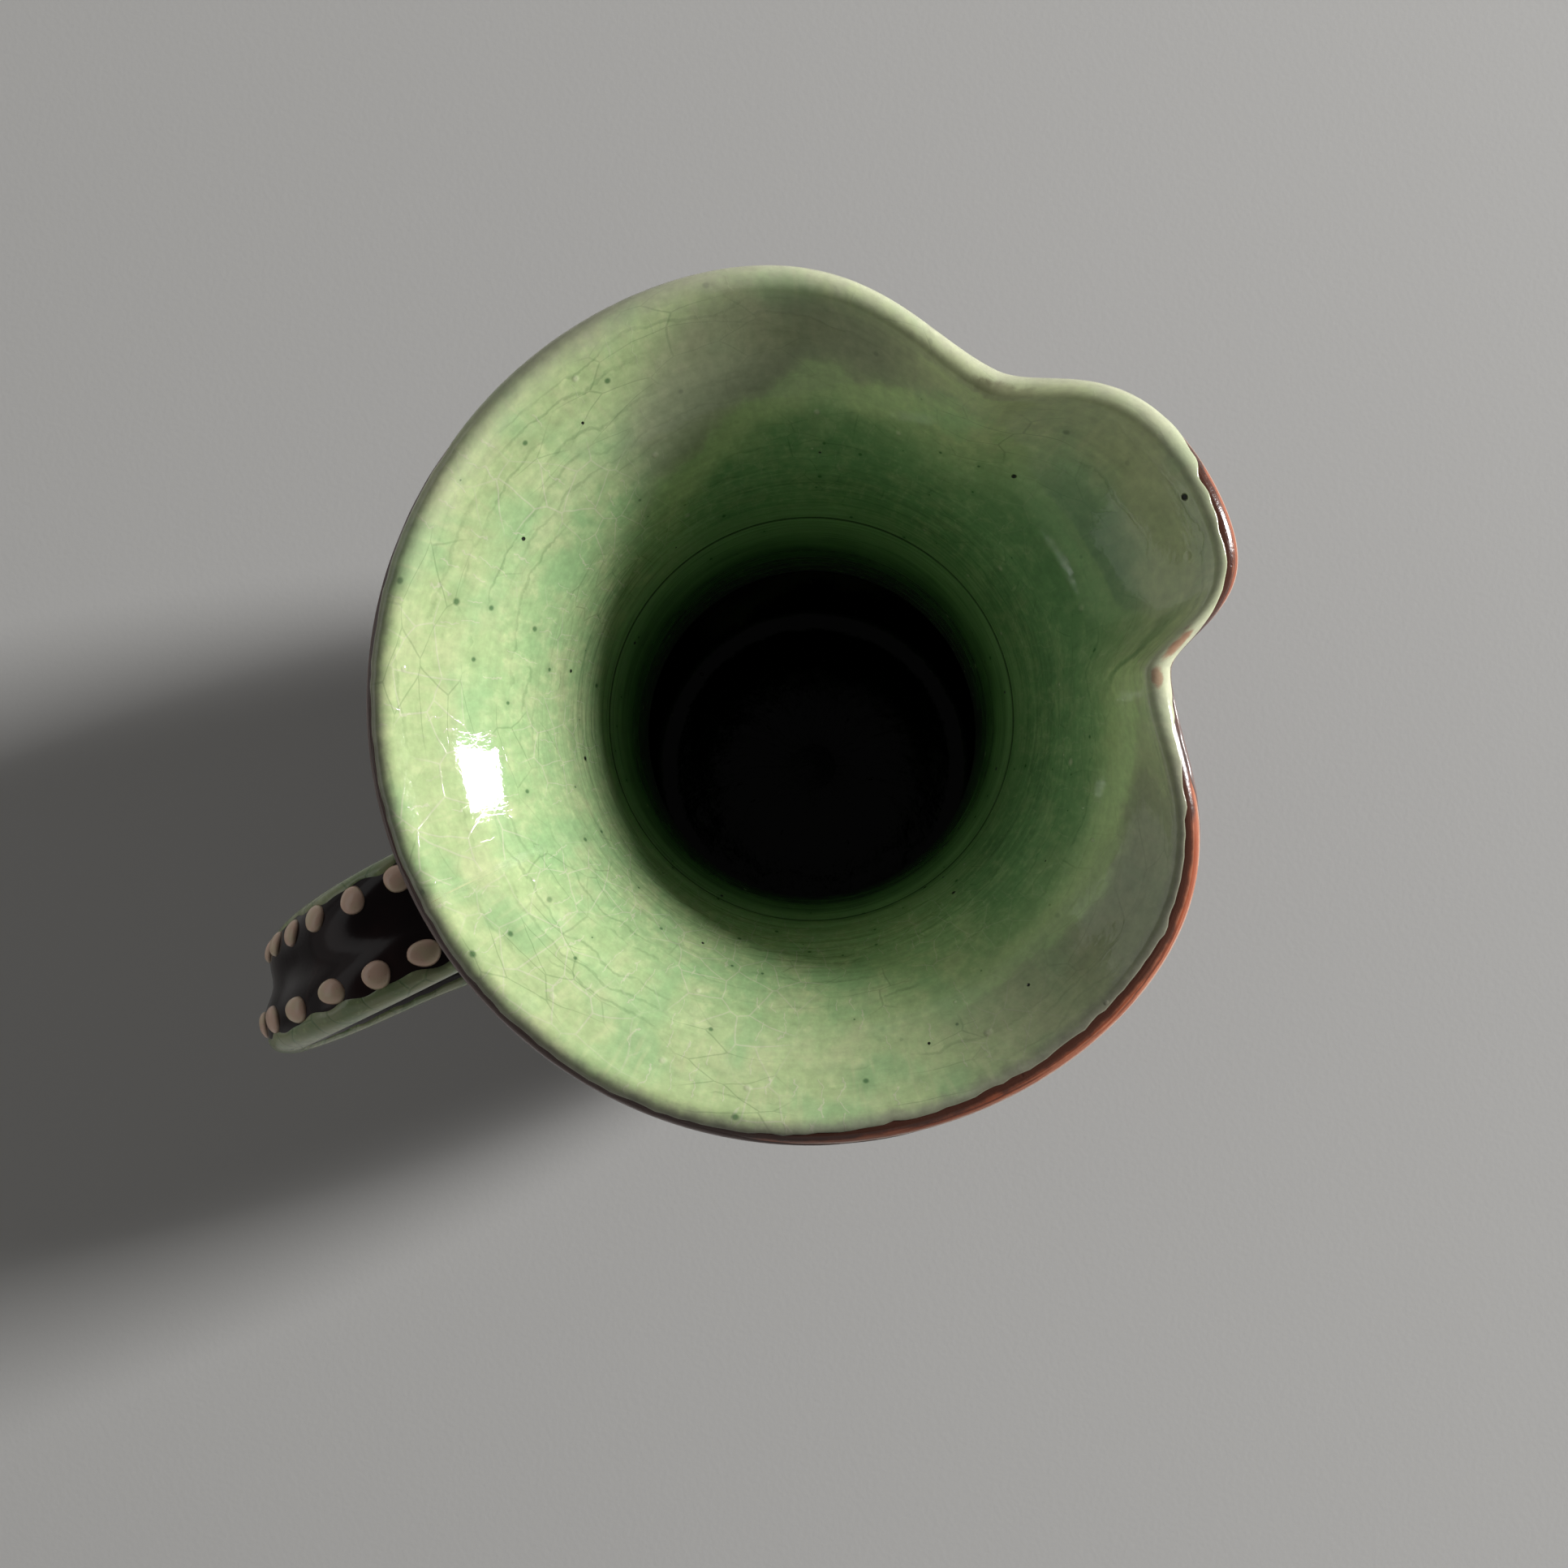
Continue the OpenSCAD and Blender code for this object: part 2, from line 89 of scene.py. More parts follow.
# Ripples down the lining: where they rise and fade, and their pitch, height, bend and drift
RIPPLE_START, RIPPLE_END = (0.030, 0.050), (0.150, 0.170)
RIPPLE_PITCH, RIPPLE_HEIGHT, RIPPLE_BEND, RIPPLE_DRIFT = 0.0056, 0.00012, 1.3, 160
# Groove at the ring
GROOVE_DEPTH, GROOVE_WIDTH = 0.0002, 0.0004
# Width of the round lower edge of the slip
COAT_EDGE_ROUND = 0.0009

# Ragged edges round the jug: a seed, and the counts of the waves
GLAZE_WAVES = 11, (9, 17, 29, 43, 61, 83, 107)
SLIP_WAVES = 12, (7, 13, 23, 37, 53, 71)
FOOT_WAVES = 21, (3, 5, 8, 13, 21, 34)
# Height of the first two, and the least gap between them, in degrees round the rim's section
GLAZE_RAGGED, SLIP_RAGGED, REACH_GAP = 4.5, 3.0, 7
# Widths of bare rim, in the same degrees, up to which it is brown and from which it is red
RED_BAND = (13, 40)
# Counts of the waves in the collars and in the edge glaze's upper and lower edges, their heights as
# shares, and the least share of a collar's width
COLLAR_WAVES, OVER_WAVES, UNDER_WAVES = (2, 3, 5, 8), (5, 11, 17, 26), (4, 9, 15, 23)
COLLAR_RAGGED_SHARE, OVER_RAGGED_SHARE, UNDER_RAGGED_SHARE = 0.10, 0.10, 0.08
COLLAR_LEAST_SHARE = 0.8
# Length over which the edge glaze tapers at its ends, and how deep its edges lie, as a share of its thickness
EDGE_TAPER, EDGE_BED_SHARE = 0.002, 0.4

# Dots: range of their sizes, how far they drift along the strap, and how much of that across it
DOT_SIZE_SHARES, DOT_DRIFT, DOT_ACROSS_SHARE = (0.94, 1.0), 0.0005, 0.5
# Heights of the two and the three waves round a dot, and the limits of both together
DOT_TWO_SHARE, DOT_THREE_SHARE, DOT_ROUND_SHARES = 0.045, 0.03, (0.9, 1.04)
# How far out on the strap a dot may lie, the size of the ring under it, and how deep its rim lies
DOT_PLACE_SHARES, DOT_UNDER_SHARE, DOT_RIM_SHARE = (0.05, 0.98), 0.9, 0.4
# Powers of a dot's dome: of the share of the way out, and of one less that
DOME_POWERS = (2.6, 0.62)

# How far the green glaze comes over the rim, in degrees round the rim's section from its outside (0)
# to its inside (180), at angles from the lip
GLAZE_REACH = (
    (-180, 100), (-150, 100), (-135, 102), (-122, 116), (-108, 138), (-70, 145), (-50, 144), (-43, 130),
    (-36, 110), (-30, 84), (-21, 78), (-18, 100), (-15, 130), (-6, 134), (0, 128), (3, 98), (8, 62), (20, 40),
    (60, 30), (95, 44), (125, 82), (155, 95), (180, 100),
)
# How far the dark slip comes up over the rim from outside, at the same angles
SLIP_REACH = (
    (-180, 92), (-150, 93), (-134, 94), (-124, 80), (-112, 50), (-95, 36), (-54, 36), (-46, 58), (-41, 98),
    (-36, 98), (-31, 66), (-24, 34), (-14, 36), (-2, 36), (6, 30), (12, 14), (20, 6), (60, 4), (95, 10),
    (125, 62), (155, 87), (180, 92),
)
# Where the rim's glaze is thick and pale, as a share
PALE_RIM = (
    (-180, 0), (-60, 0), (-40, 0.2), (-34, 0.7), (-28, 1), (-20, 1), (-14, 0.6), (-6, 0.45), (1, 0.6),
    (10, 1), (90, 1), (120, 0.45), (145, 0), (180, 0),
)

# Where a painted reflection, a dull olive tone, lies below the rim, as a share, and the radius in millimetres
# where it starts
REFLECTION_SHARE = (
    (-180, 0), (-104, 0), (-82, 0.7), (-60, 1), (-30, 1), (-18, 0.2), (0, 0), (34, 0), (48, 1), (80, 1),
    (95, 0), (180, 0),
)
REFLECTION_START = (
    (-180, 43.5), (-120, 43.5), (-60, 43), (-30, 41.5), (0, 41), (34, 39), (48, 41), (60, 42.5), (72, 40),
    (88, 36), (112, 34.5), (180, 43.5),
)
# How far the painted reflection's far end turns with each metre in from the glaze's edge, past which angle
# from the lip, about which distance in, and down to which
REFLECTION_LEAN, REFLECTION_LEAN_PAST = math.radians(1300), math.radians(60)
REFLECTION_LEAN_MIDDLE, REFLECTION_LEAN_DEPTH = 0.012, 0.020
# Side of the mouth away from the main light, darkened as painted shade: its angle in radians, and the cosines
# from it of its edge
SHADE_TURN, SHADE_COSINES = 0.1, (-0.3, 0.25)

# Distances down the lining from the rim between which it turns green, then deep, then near black: glaze
# pooling, partly painted shade
GREEN_DEPTH, DEEP_DEPTH, POOLED_SHADE_DEPTH = (0.004, 0.030), (0.042, 0.064), (0.088, 0.105)
# Where the shaded side darkens and loses its flecks as painted shade, and where the lit side has a pale band
# of painted light
SHADED_DEPTH, DULLED_DEPTH = (0.006, 0.024), (0.006, 0.020)
LIT_BAND_START, LIT_BAND_END = (0.014, 0.028), (0.038, 0.050)
# Where the rays, the flecks and the fine lines end, and where the streaks start and end
RAY_DEPTH, FLECK_DEPTH, LINE_DEPTH = (0.004, 0.014), (0.034, 0.054), (0.034, 0.050)
STREAK_START, STREAK_END = (0.016, 0.040), (0.080, 0.110)
# Fine lines round the mouth to the metre, and short strokes to a turn
LINES_A_METRE, STROKES_A_TURN = 390, 100
# Blots at the pinches: angle from the lip and half the width in degrees, distance in from the glaze's
# edge and half the depth, strength, and colour
BLOTS = (
    (29.5, 5.5, 0.0050, 0.0015, 0.55, "stain"), (31.5, 2.0, 0.0050, 0.0011, 0.75, "rim_brown"),
    (-21.0, 2.4, 0.0022, 0.0009, 0.80, "salmon"), (-26.0, 2.0, 0.0024, 0.0008, 0.65, "salmon"),
)
# Middle of the patch of painted shade in the lip
LIP_SHADE_PATCH = (0.0405, -0.002, 0.1850)
PINHOLE = (0.004, 0.005, 0.003)
# Heights between which the slip is worn at the rim and lightened as a painted highlight
WORN_HEIGHT = (0.1905, 0.1930)
# Roughness and specular level of the slip on the wall and on the strap, and the floor's specular level
COAT_SHEEN, COAT_GLOSS, STRAP_SHEEN, STRAP_GLOSS, FLOOR_GLOSS = 0.16, 0.4, 0.13, 0.20, 0.1

# Half the side of the floor, the room's light, the share of its height over which it fades, and the camera
FLOOR_HALF = 6.0
ROOM_COLOUR, ROOM_FADE_SHARES = (1.0, 0.99, 0.97, 1.0), (0.40, 0.60)
SENSOR_WIDTH, CLIP_START = 36.0, 0.01


def length(name, text, default):
    """A size in metres."""
    return bpy.props.FloatProperty(name=name, description=text, default=default, unit="LENGTH", precision=5)


def angle(name, text, degrees):
    """An angle, given in degrees."""
    return bpy.props.FloatProperty(
        name=name, description=text, default=math.radians(degrees), subtype="ANGLE")


def colour(name, text, default):
    """A colour in linear light."""
    return bpy.props.FloatVectorProperty(
        name=name, description=text, default=default, size=3, subtype="COLOR", min=0, max=1)


class JugShape(bpy.types.PropertyGroup):
    """Sizes of the clay, slip and glaze."""

    jug_height: length("Jug height", "From the table to the top of the round rim", 0.195)
    base_radius: length("Base radius", "Radius of the flat base", 0.038)
    base_thickness: length("Base thickness", "Thickness of the floor under the hollow", 0.007)
    foot_bevel: length("Foot bevel", "Height of the small bevel round the foot", 0.0012)
    bare_foot: length("Bare foot", "Height of the band of clay left bare at the foot", 0.009)
    foot_wave: length("Foot wave", "How far the lower edge of the slip wanders up and down", 0.0011)
    floor_fillet: length("Floor fillet", "Rounded corner between the floor and the wall, inside", 0.009)
    belly_radius: length("Belly radius", "Outside radius of the clay at the widest part", 0.062)
    belly_height: length("Belly height", "Height of the widest part", 0.064)
    throat_radius: length("Throat radius", "Outside radius of the clay at the throat", 0.0305)
    throat_height: length("Throat height", "Height of the narrowest part of the neck", 0.122)
    wall: length("Wall", "Thickness of the clay wall", 0.0045)
    seam_height: length("Ring height", "Height of the ring where the mouth joins the neck", 0.155)
    seam_radius: length("Ring radius", "Outside radius of the clay at that ring", 0.0330)
    seam_lean: angle("Ring lean", "Lean of the wall at that ring, from upright", 15)
    rim_radius: length("Rim radius", "Outside radius of the round rim", 0.0554)
    rim_lean: angle("Rim lean", "Lean of the wall at the rim, from upright", 52)
    rim_wall: length("Rim wall", "Thickness of the clay at the rim", 0.0046)
    lip_reach: length("Lip reach", "How far the lip stands out past the round rim", 0.0015)
    lip_rise: length("Lip rise", "How far the lip stands up above the round rim", 0.0016)
    lip_spread: angle("Lip spread", "Spread of the lip to each side of its tip", 20)
    lip_fade: bpy.props.FloatProperty(
        name="Lip fade", description="How quickly the lip fades out towards the neck", default=2.4)
    left_pinch_angle: angle("Left pinch angle", "From the tip of the lip to the left pinch", 31.5)
    left_pinch_depth: length("Left pinch depth", "Depth of the left pinch", 0.0083)
    left_pinch_inner: angle("Left pinch inner spread", "Spread towards the lip", 12.5)
    left_pinch_outer: angle("Left pinch outer spread", "Spread away from the lip", 22)
    right_pinch_angle: angle("Right pinch angle", "From the tip of the lip to the right pinch", 25)
    right_pinch_depth: length("Right pinch depth", "Depth of the right pinch", 0.0106)
    right_pinch_inner: angle("Right pinch inner spread", "Spread towards the lip", 8)
    right_pinch_outer: angle("Right pinch outer spread", "Spread away from the lip", 24)
    glaze: length("Glaze", "Thickness of the green glaze inside", 0.0005)
    slip: length("Slip", "Thickness of the dark slip outside", 0.0004)
    rim_film: length("Rim film", "Thickness of slip and glaze over the rim", 0.0002)
    ring_depth: length("Throwing ring depth", "Depth of the throwing rings", 0.0002)
    ring_pitch: length("Throwing ring pitch", "Distance from one throwing ring to the next", 0.0072)


class HandleShape(bpy.types.PropertyGroup):
    """Sizes of the strap handle and what is laid on it."""

    turn: angle("Handle turn", "Turn of the handle away from straight behind the lip", 2.5)
    root_height: length("Root height", "Height of the strap's middle where it leaves the neck", 0.144)
    root_rise: angle("Root rise", "Rise of the strap as it leaves the neck", 32)
    crest_height: length("Crest height", "Height of the strap's middle at its crest", 0.155)
    crest_reach: length("Crest reach", "Distance of the crest from the axis", 0.062)
    reach: length("Reach", "Distance of the strap's outer face from the axis where furthest out", 0.092)
    bend_height: length("Bend height", "Height where the strap stands out furthest", 0.129)
    foot_height: length("Foot height", "Height of the strap's middle where it lands on the belly", 0.078)
    foot_slope: angle("Foot slope", "Slope of the strap as it lands", 38)
    width: length("Strap width", "Width of the strap", 0.0185)
    thickness: length("Strap thickness", "Thickness of the strap", 0.008)
    channel_depth: length("Channel depth", "Depth of the thumb channel", 0.0012)
    channel_width: length("Channel width", "Width of the thumb channel", 0.0060)
    roll: angle("Strap roll", "Roll of the strap about its own line where it bends down", 30)
    root_spread: length("Root spread", "Extra width where it is pressed onto the neck", 0.0015)
    foot_spread: length("Foot spread", "Extra width where it is pressed onto the belly", 0.004)
    lute_length: length("Collar length", "Length of strap that each collar covers", 0.013)
    lute_width: length("Collar width", "How far each collar spreads round the strap", 0.0035)
    edge_glaze: length("Edge glaze", "Thickness of the green glaze along the edges", 0.00035)
    edge_over: angle("Edge over", "Reach of the edge glaze over the strap's side", 45)
    edge_under: angle("Edge under", "Reach of the edge glaze under the strap's side", 33.75)
    dot_diameter: length("Dot diameter", "Diameter of a dot of slip", 0.0042)
    dot_height: length("Dot height", "Height of a dot above the strap", 0.0009)
    dot_pitch: length("Dot pitch", "Distance from one dot to the next", 0.0068)
    dot_row_offset: length("Dot row offset", "Distance of each row from the strap's middle", 0.0056)
    dot_bed: length("Dot bed", "Depth that a dot beds into the slip under it", 0.00025)


class JugColours(bpy.types.PropertyGroup):
    """Colours of the clay, slip and glaze."""

    clay: colour("Clay", "Bare fired red clay", (0.54, 0.19, 0.10))
    rim_clay: colour("Rim clay", "Red clay under clear glaze at the rim", (0.36, 0.085, 0.034))
    rim_brown: colour("Rim brown", "Thin glaze over dark slip at the rim", (0.065, 0.030, 0.023))
    slip: colour("Dark slip", "Dark brown slip under clear glaze", (0.019, 0.013, 0.014))
    slip_thin: colour("Thin slip", "Dark slip where it lies thin", (0.058, 0.030, 0.028))
    pale: colour("Pale glaze", "Yellow-green glaze near the rim", (0.59, 0.74, 0.36))
    yellow: colour("Yellow fleck", "Yellow flecks in the glaze", (0.74, 0.80, 0.44))
    green: colour("Green glaze", "Green glaze part way down the mouth", (0.40, 0.66, 0.31))
    deep: colour("Deep glaze", "Glaze in the neck", (0.15, 0.31, 0.13))
    # Near black below the throat: glaze pooling in the belly, partly painted shade
    pooled_shade: colour("Pooled glaze", "Glaze pooled dark in the belly", (0.014, 0.028, 0.012))
    spot: colour("Green spot", "Dark green spots and crackle lines", (0.05, 0.16, 0.05))
    cream: colour("Cream edge", "Glaze that has run thick and pale at the rim", (0.78, 0.78, 0.56))
    stain: colour("Brown stain", "Red-brown clay that shows through thin glaze", (0.13, 0.060, 0.042))
    salmon: colour("Salmon", "Pale red clay that shows through glaze at the pinch", (0.52, 0.24, 0.15))
    # Painted reflection: this olive tone stands in for the room reflected in the glaze below part of the rim
    veil: colour("Olive veil", "Dull olive glaze below part of the rim", (0.38, 0.38, 0.26))
    # Partly worn slip, partly a painted highlight on the rim's outer edge
    rim_slip_highlight: colour("Rim slip", "Dark slip worn thin and pinkish over the rim", (0.30, 0.22, 0.20))
    worn: colour("Thin edge", "Glaze that lies thin at the rim", (0.37, 0.36, 0.29))
    edge: colour("Handle edge", "Green glaze along the handle", (0.38, 0.42, 0.23))
    dot: colour("Dot", "Trailed cream slip", (0.90, 0.62, 0.47))
    floor: colour("Floor", "Floor that the jug stands on", (0.74, 0.73, 0.71))


class JugStage(bpy.types.PropertyGroup):
    """Camera and lights."""

    camera_place: bpy.props.FloatVectorProperty(
        name="Camera place", description="Where the camera stands", default=(-0.00949, -0.01906, 0.4725),
        subtype="XYZ", unit="LENGTH", precision=5)
    camera_aim: bpy.props.FloatVectorProperty(
        name="Camera aim", description="Point that the camera looks at", default=(-0.00804, -0.00781, 0.195),
        subtype="XYZ", unit="LENGTH", precision=5)
    camera_turn: angle("Camera turn", "Angle of the picture's right-hand side from the lip", -29.2)
    lens: bpy.props.FloatProperty(
        name="Lens", description="Focal length in millimetres", default=51.69, subtype="DISTANCE_CAMERA")
    key_turn: angle("Key turn", "Angle of the main light from the lip", -12)
    key_rise: angle("Key rise", "Height of the main light above level", 14.5)
    key_power: bpy.props.FloatProperty(
        name="Key power", description="Power of the main light", default=87.0, unit="POWER")
    key_width: length("Key width", "Width of the main light", 0.46)
    key_height: length("Key height", "Height of the main light", 0.86)
    fill_turn: angle("Fill turn", "Angle of the low fill light from the lip", 145)
    fill_rise: angle("Fill rise", "Height of the low fill light above level", 22)
    fill_power: bpy.props.FloatProperty(
        name="Fill power", description="Power of the low fill light", default=4.5, unit="POWER")
    fill_width: length("Fill width", "Width of the low fill light", 3.5)
    fill_height: length("Fill height", "Height of the low fill light", 0.93)
    light_distance: length("Light distance", "Distance of the lights from the jug", 2.6)
    level_light: bpy.props.FloatProperty(
        name="Level light", description="Light that comes from all round, near level", default=0.28)
    top_light: bpy.props.FloatProperty(
        name="Top light", description="Light that comes from above", default=0.03)


# Curves and outlines

def smooth(value, low, high):
    """Eased step: 3s² − 2s³ of the share s of the way from low to high."""
    s = np.clip((value - low) / (high - low), 0, 1)
    return s * s * (3 - 2 * s)


def curve_at(points, t):
    """Cubic curve: four control points, each weighted by its own power of t and 1 − t."""
    t = np.asarray(t)[..., None]
    a, b, c, d = (np.asarray(p, float) for p in points)
    return (1 - t) ** 3 * a + 3 * t * (1 - t) ** 2 * b + 3 * t * t * (1 - t) * c + t ** 3 * d


def way_at(points, t):
    """Unit direction of that curve: its derivative over the derivative's length."""
    t = np.asarray(t)[..., None]
    a, b, c, d = (np.asarray(p, float) for p in points)
    slope = (1 - t) ** 2 * (b - a) + 2 * t * (1 - t) * (c - b) + t * t * (d - c)
    return slope / np.linalg.norm(slope, axis=-1, keepdims=True)


def leaning(lean):
    """Unit direction in the plane of the outline, at an angle from upright."""
    return np.array([math.sin(lean), math.cos(lean)])


def set_in(points, ways, depth):
    """Outline moved in by a depth: along the direction at a right angle to the left of its way."""
    inward = np.stack([-ways[..., 1], ways[..., 0]], axis=-1)
    return points + np.asarray(depth)[..., None] * inward


def outline_curves(shape):
    """Control points (radius, height) of the outside of the clay: foot to belly, to throat, to ring, to
    rim."""
    crown = shape.rim_wall / 2
    foot = np.array([shape.base_radius, shape.foot_bevel])
    belly = np.array([shape.belly_radius, shape.belly_height])
    throat = np.array([shape.throat_radius, shape.throat_height])
    ring = np.array([shape.seam_radius, shape.seam_height])
    rim = np.array([
        shape.rim_radius - crown * (1 - math.cos(shape.rim_lean)),
        shape.jug_height - crown * (1 + math.sin(shape.rim_lean))])
    shoulder = shape.throat_height - shape.belly_height
    neck = shape.seam_height - shape.throat_height
    flare = float(np.linalg.norm(rim - ring))
    up = np.array([0.0, 1.0])
    lean = np.array([FOOT_LEAN_SHARE * (shape.belly_radius - shape.base_radius),
                     FOOT_LIFT_SHARE * shape.belly_height])
    return (
        (foot, foot + lean, belly - BELLY_PULL_SHARE * shape.belly_height * up, belly),
        (belly, belly + SHOULDER_PULL_SHARE * shoulder * up,
         throat - THROAT_PULL_SHARE * shoulder * up, throat),
        (throat, throat + NECK_PULL_SHARE * neck * up,
         ring - NECK_PULL_SHARE * neck * leaning(shape.seam_lean), ring),
        (ring, ring + RING_PULL_SHARE * flare * leaning(shape.seam_lean),
         rim - RIM_PULL_SHARE * flare * leaning(shape.rim_lean), rim),
    )


def outline(shape):
    """Points and ways of the outside of the clay, with the share of the mouth (0 at the ring, 1 at the
    rim)."""
    rows = (BELLY_ROWS, SHOULDER_ROWS, NECK_ROWS, MOUTH_ROWS + 1)
    steps = [np.arange(n) / n for n in rows[:3]] + [np.linspace(0, 1, rows[3])]
    curves = outline_curves(shape)
    points = np.concatenate([curve_at(c, t) for c, t in zip(curves, steps)])
    ways = np.concatenate([way_at(c, t) for c, t in zip(curves, steps)])
    mouth = np.concatenate([np.zeros(sum(rows[:3])), steps[3]])
    return points, ways, mouth


def wall_depth(shape, mouth):
    """Thickness of the clay, which changes evenly from the ring to the rim."""
    return shape.wall + mouth * (shape.rim_wall - shape.wall)


def hollow(shape, depth_extra, side):
    """Floor and rounded corner of the hollow, then its side: a flat line, and a curve of the second
    degree from the floor to the first point of the side above the corner."""
    level = shape.base_thickness + depth_extra
    side = side[side[:, 1] > level + shape.floor_fillet]
    lean = (side[1] - side[0]) / (side[1, 1] - side[0, 1])
    corner = side[0] - lean * (side[0, 1] - level)
    edge = corner - np.array([shape.floor_fillet, 0])
    across = np.linspace(0, 1, FLOOR_ROWS, endpoint=False)[:, None]
    t = np.linspace(0, 1, FILLET_ROWS, endpoint=False)[:, None]
    bend = (1 - t) ** 2 * edge + 2 * t * (1 - t) * corner + t * t * side[0]
    return np.concatenate([np.array([0, level]) * (1 - across) + edge * across, bend, side])


def turns():
    """Angles round the jug, closer together near the lip: an even angle less a share of its sine."""
    even = np.linspace(-math.pi, math.pi, TURN_COUNT, endpoint=False)
    return even - TURN_CROWD * np.sin(even)


def bell(x, below, above):
    """Bell of height one, with its own spread on each side."""
    return np.exp(-(x / np.where(x < 0, below, above)) ** 2)


def lip_bell(shape, turn):
    """Bell round the tip of the lip."""
    return bell(turn, shape.lip_spread, shape.lip_spread)


def lip_pull(shape, turn):
    """How far the rim is pulled out: a bell at the lip, less a lopsided bell at each pinch."""
    return (
        shape.lip_reach * lip_bell(shape, turn)
        - shape.left_pinch_depth
        * bell(turn - shape.left_pinch_angle, shape.left_pinch_inner, shape.left_pinch_outer)
        - shape.right_pinch_depth
        * bell(turn + shape.right_pinch_angle, shape.right_pinch_outer, shape.right_pinch_inner))


def turned(shape, radius, height, pull, turn):
    """Outline carried round the axis: the radius grows by the lip's pull, the height by its rise."""
    radius = radius + pull * lip_pull(shape, turn)
    height = height + pull * shape.lip_rise * lip_bell(shape, turn)
    return np.stack(np.broadcast_arrays(radius * np.cos(turn), radius * np.sin(turn), height), axis=-1)


def crown_arc(shape, reach, film):
    """Section of the rim: a circle about the middle of the wall's end, at an angle from its outside."""
    curve = outline_curves(shape)[3]
    way = way_at(curve, 1.0)
    inward = np.array([-way[1], way[0]])
    crown = shape.rim_wall / 2
    middle = curve_at(curve, 1.0) + crown * inward
    size = crown - shape.rim_film + film
    side, top = -size * np.cos(reach), size * np.sin(reach)
    return middle[0] + side * inward[0] + top * way[0], middle[1] + side * inward[1] + top * way[1]


def round_table(turn, knots):
    """Value round the mouth, eased from each knot to the next."""
    places, values = np.radians([k[0] for k in knots]), np.array([k[1] for k in knots], float)
    i = np.clip(np.searchsorted(places, turn, side="right") - 1, 0, len(places) - 2)
    share = smooth((turn - places[i]) / (places[i + 1] - places[i]), 0, 1)
    return values[i] + share * (values[i + 1] - values[i])


def ragged(turn, seed, waves):
    """Unevenness of about one: cosine waves of these counts round the jug, each with its own seeded phase."""
    phases = np.random.default_rng(seed).uniform(0, 2 * math.pi, len(waves))
    return np.cos(np.outer(turn, waves) + phases).sum(axis=1) / math.sqrt(len(waves))


def glaze_reach(turn):
    """Angle round the rim's section where the green glaze ends, with a ragged edge."""
    return np.radians(round_table(turn, GLAZE_REACH) + GLAZE_RAGGED * ragged(turn, *GLAZE_WAVES))


def slip_reach(turn):
    """Angle round the rim's section where the dark slip ends, kept clear of the green glaze."""
    reach = np.radians(round_table(turn, SLIP_REACH) + SLIP_RAGGED * ragged(turn, *SLIP_WAVES))
    return np.clip(np.minimum(reach, glaze_reach(turn) - math.radians(REACH_GAP)), 0, None)


def throwing_rings(shape, height, turn):
    """Depth of the throwing rings: a slow spiral wave up the wall, bent by a slower wave."""
    bend = RING_BEND * np.sin(height * RING_DRIFT + 2 * turn)
    wave = height / shape.ring_pitch + turn / (2 * math.pi) + bend
    return shape.ring_depth * (0.5 - 0.5 * np.cos(2 * math.pi * wave))


def run_down(radius, height, end):
    """Length along an outline, measured back from one of its rows."""
    step = np.hypot(np.diff(radius), np.diff(height))
    run = np.concatenate([[0], np.cumsum(step)])
    return run[end] - run


# Strap handle

def handle_path(shape, handle):
    """Middle line of the strap (distance from the axis, height): three cubic curves, with the length run
    along them, their ways and the coated outside that they start and end on."""
    coat = coat_line(shape)
    root = np.array([coat_radius(coat, handle.root_height), handle.root_height])
    crest = np.array([handle.crest_reach, handle.crest_height])
    bend = np.array([handle.reach - handle.thickness / 2, handle.bend_height])
    foot = np.array([coat_radius(coat, handle.foot_height), handle.foot_height])
    rise = np.array([math.cos(handle.root_rise), math.sin(handle.root_rise)])
    landing = np.array([math.cos(handle.foot_slope), math.sin(handle.foot_slope)])
    out, up = np.array([1.0, 0.0]), np.array([0.0, 1.0])
    root_pull = ROOT_PULL_SHARE * np.linalg.norm(crest - root)
    bend_pull = HANDLE_PULL_SHARE * (crest - bend)
    drop = np.linalg.norm(bend - foot)
    curves = (
        (root, root + root_pull * rise, crest - root_pull * out, crest),
        (crest, crest - bend_pull[0] * out, bend + bend_pull[1] * up, bend),
        (bend, bend - HANDLE_PULL_SHARE * drop * up, foot + LANDING_PULL_SHARE * drop * landing, foot),
    )
    t = np.linspace(0, 1, PATH_SAMPLES)
    steps = (t[:-1], t[:-1], t)
    middle, way = (np.concatenate([at(c, s) for c, s in zip(curves, steps)]) for at in (curve_at, way_at))
    run = np.concatenate([[0], np.cumsum(np.linalg.norm(np.diff(middle, axis=0), axis=1))])
    return {"run": run, "middle": middle, "way": way, "length": run[-1], "coat": coat}


def coat_line(shape):
    """Outside of the dark slip, as radii and heights: the outline moved out by the slip's thickness."""
    points, ways = outline(shape)[:2]
    return set_in(points, ways, np.full(len(points), -shape.slip))


def coat_radius(coat, height):
    """Radius of the coated outside at a height."""
    return np.interp(height, coat[:, 1], coat[:, 0])


def signed_power(x, power):
    """Power of a size, with the sign kept."""
    return np.sign(x) * np.abs(x) ** power


def strap_width(handle, path, run):
    """Width of the strap, with a bell of extra width at each end."""
    return (
        handle.width
        + handle.root_spread * np.exp(-(run / handle.lute_length) ** 2)
        + handle.foot_spread * np.exp(-((path["length"] - run) / handle.lute_length) ** 2))


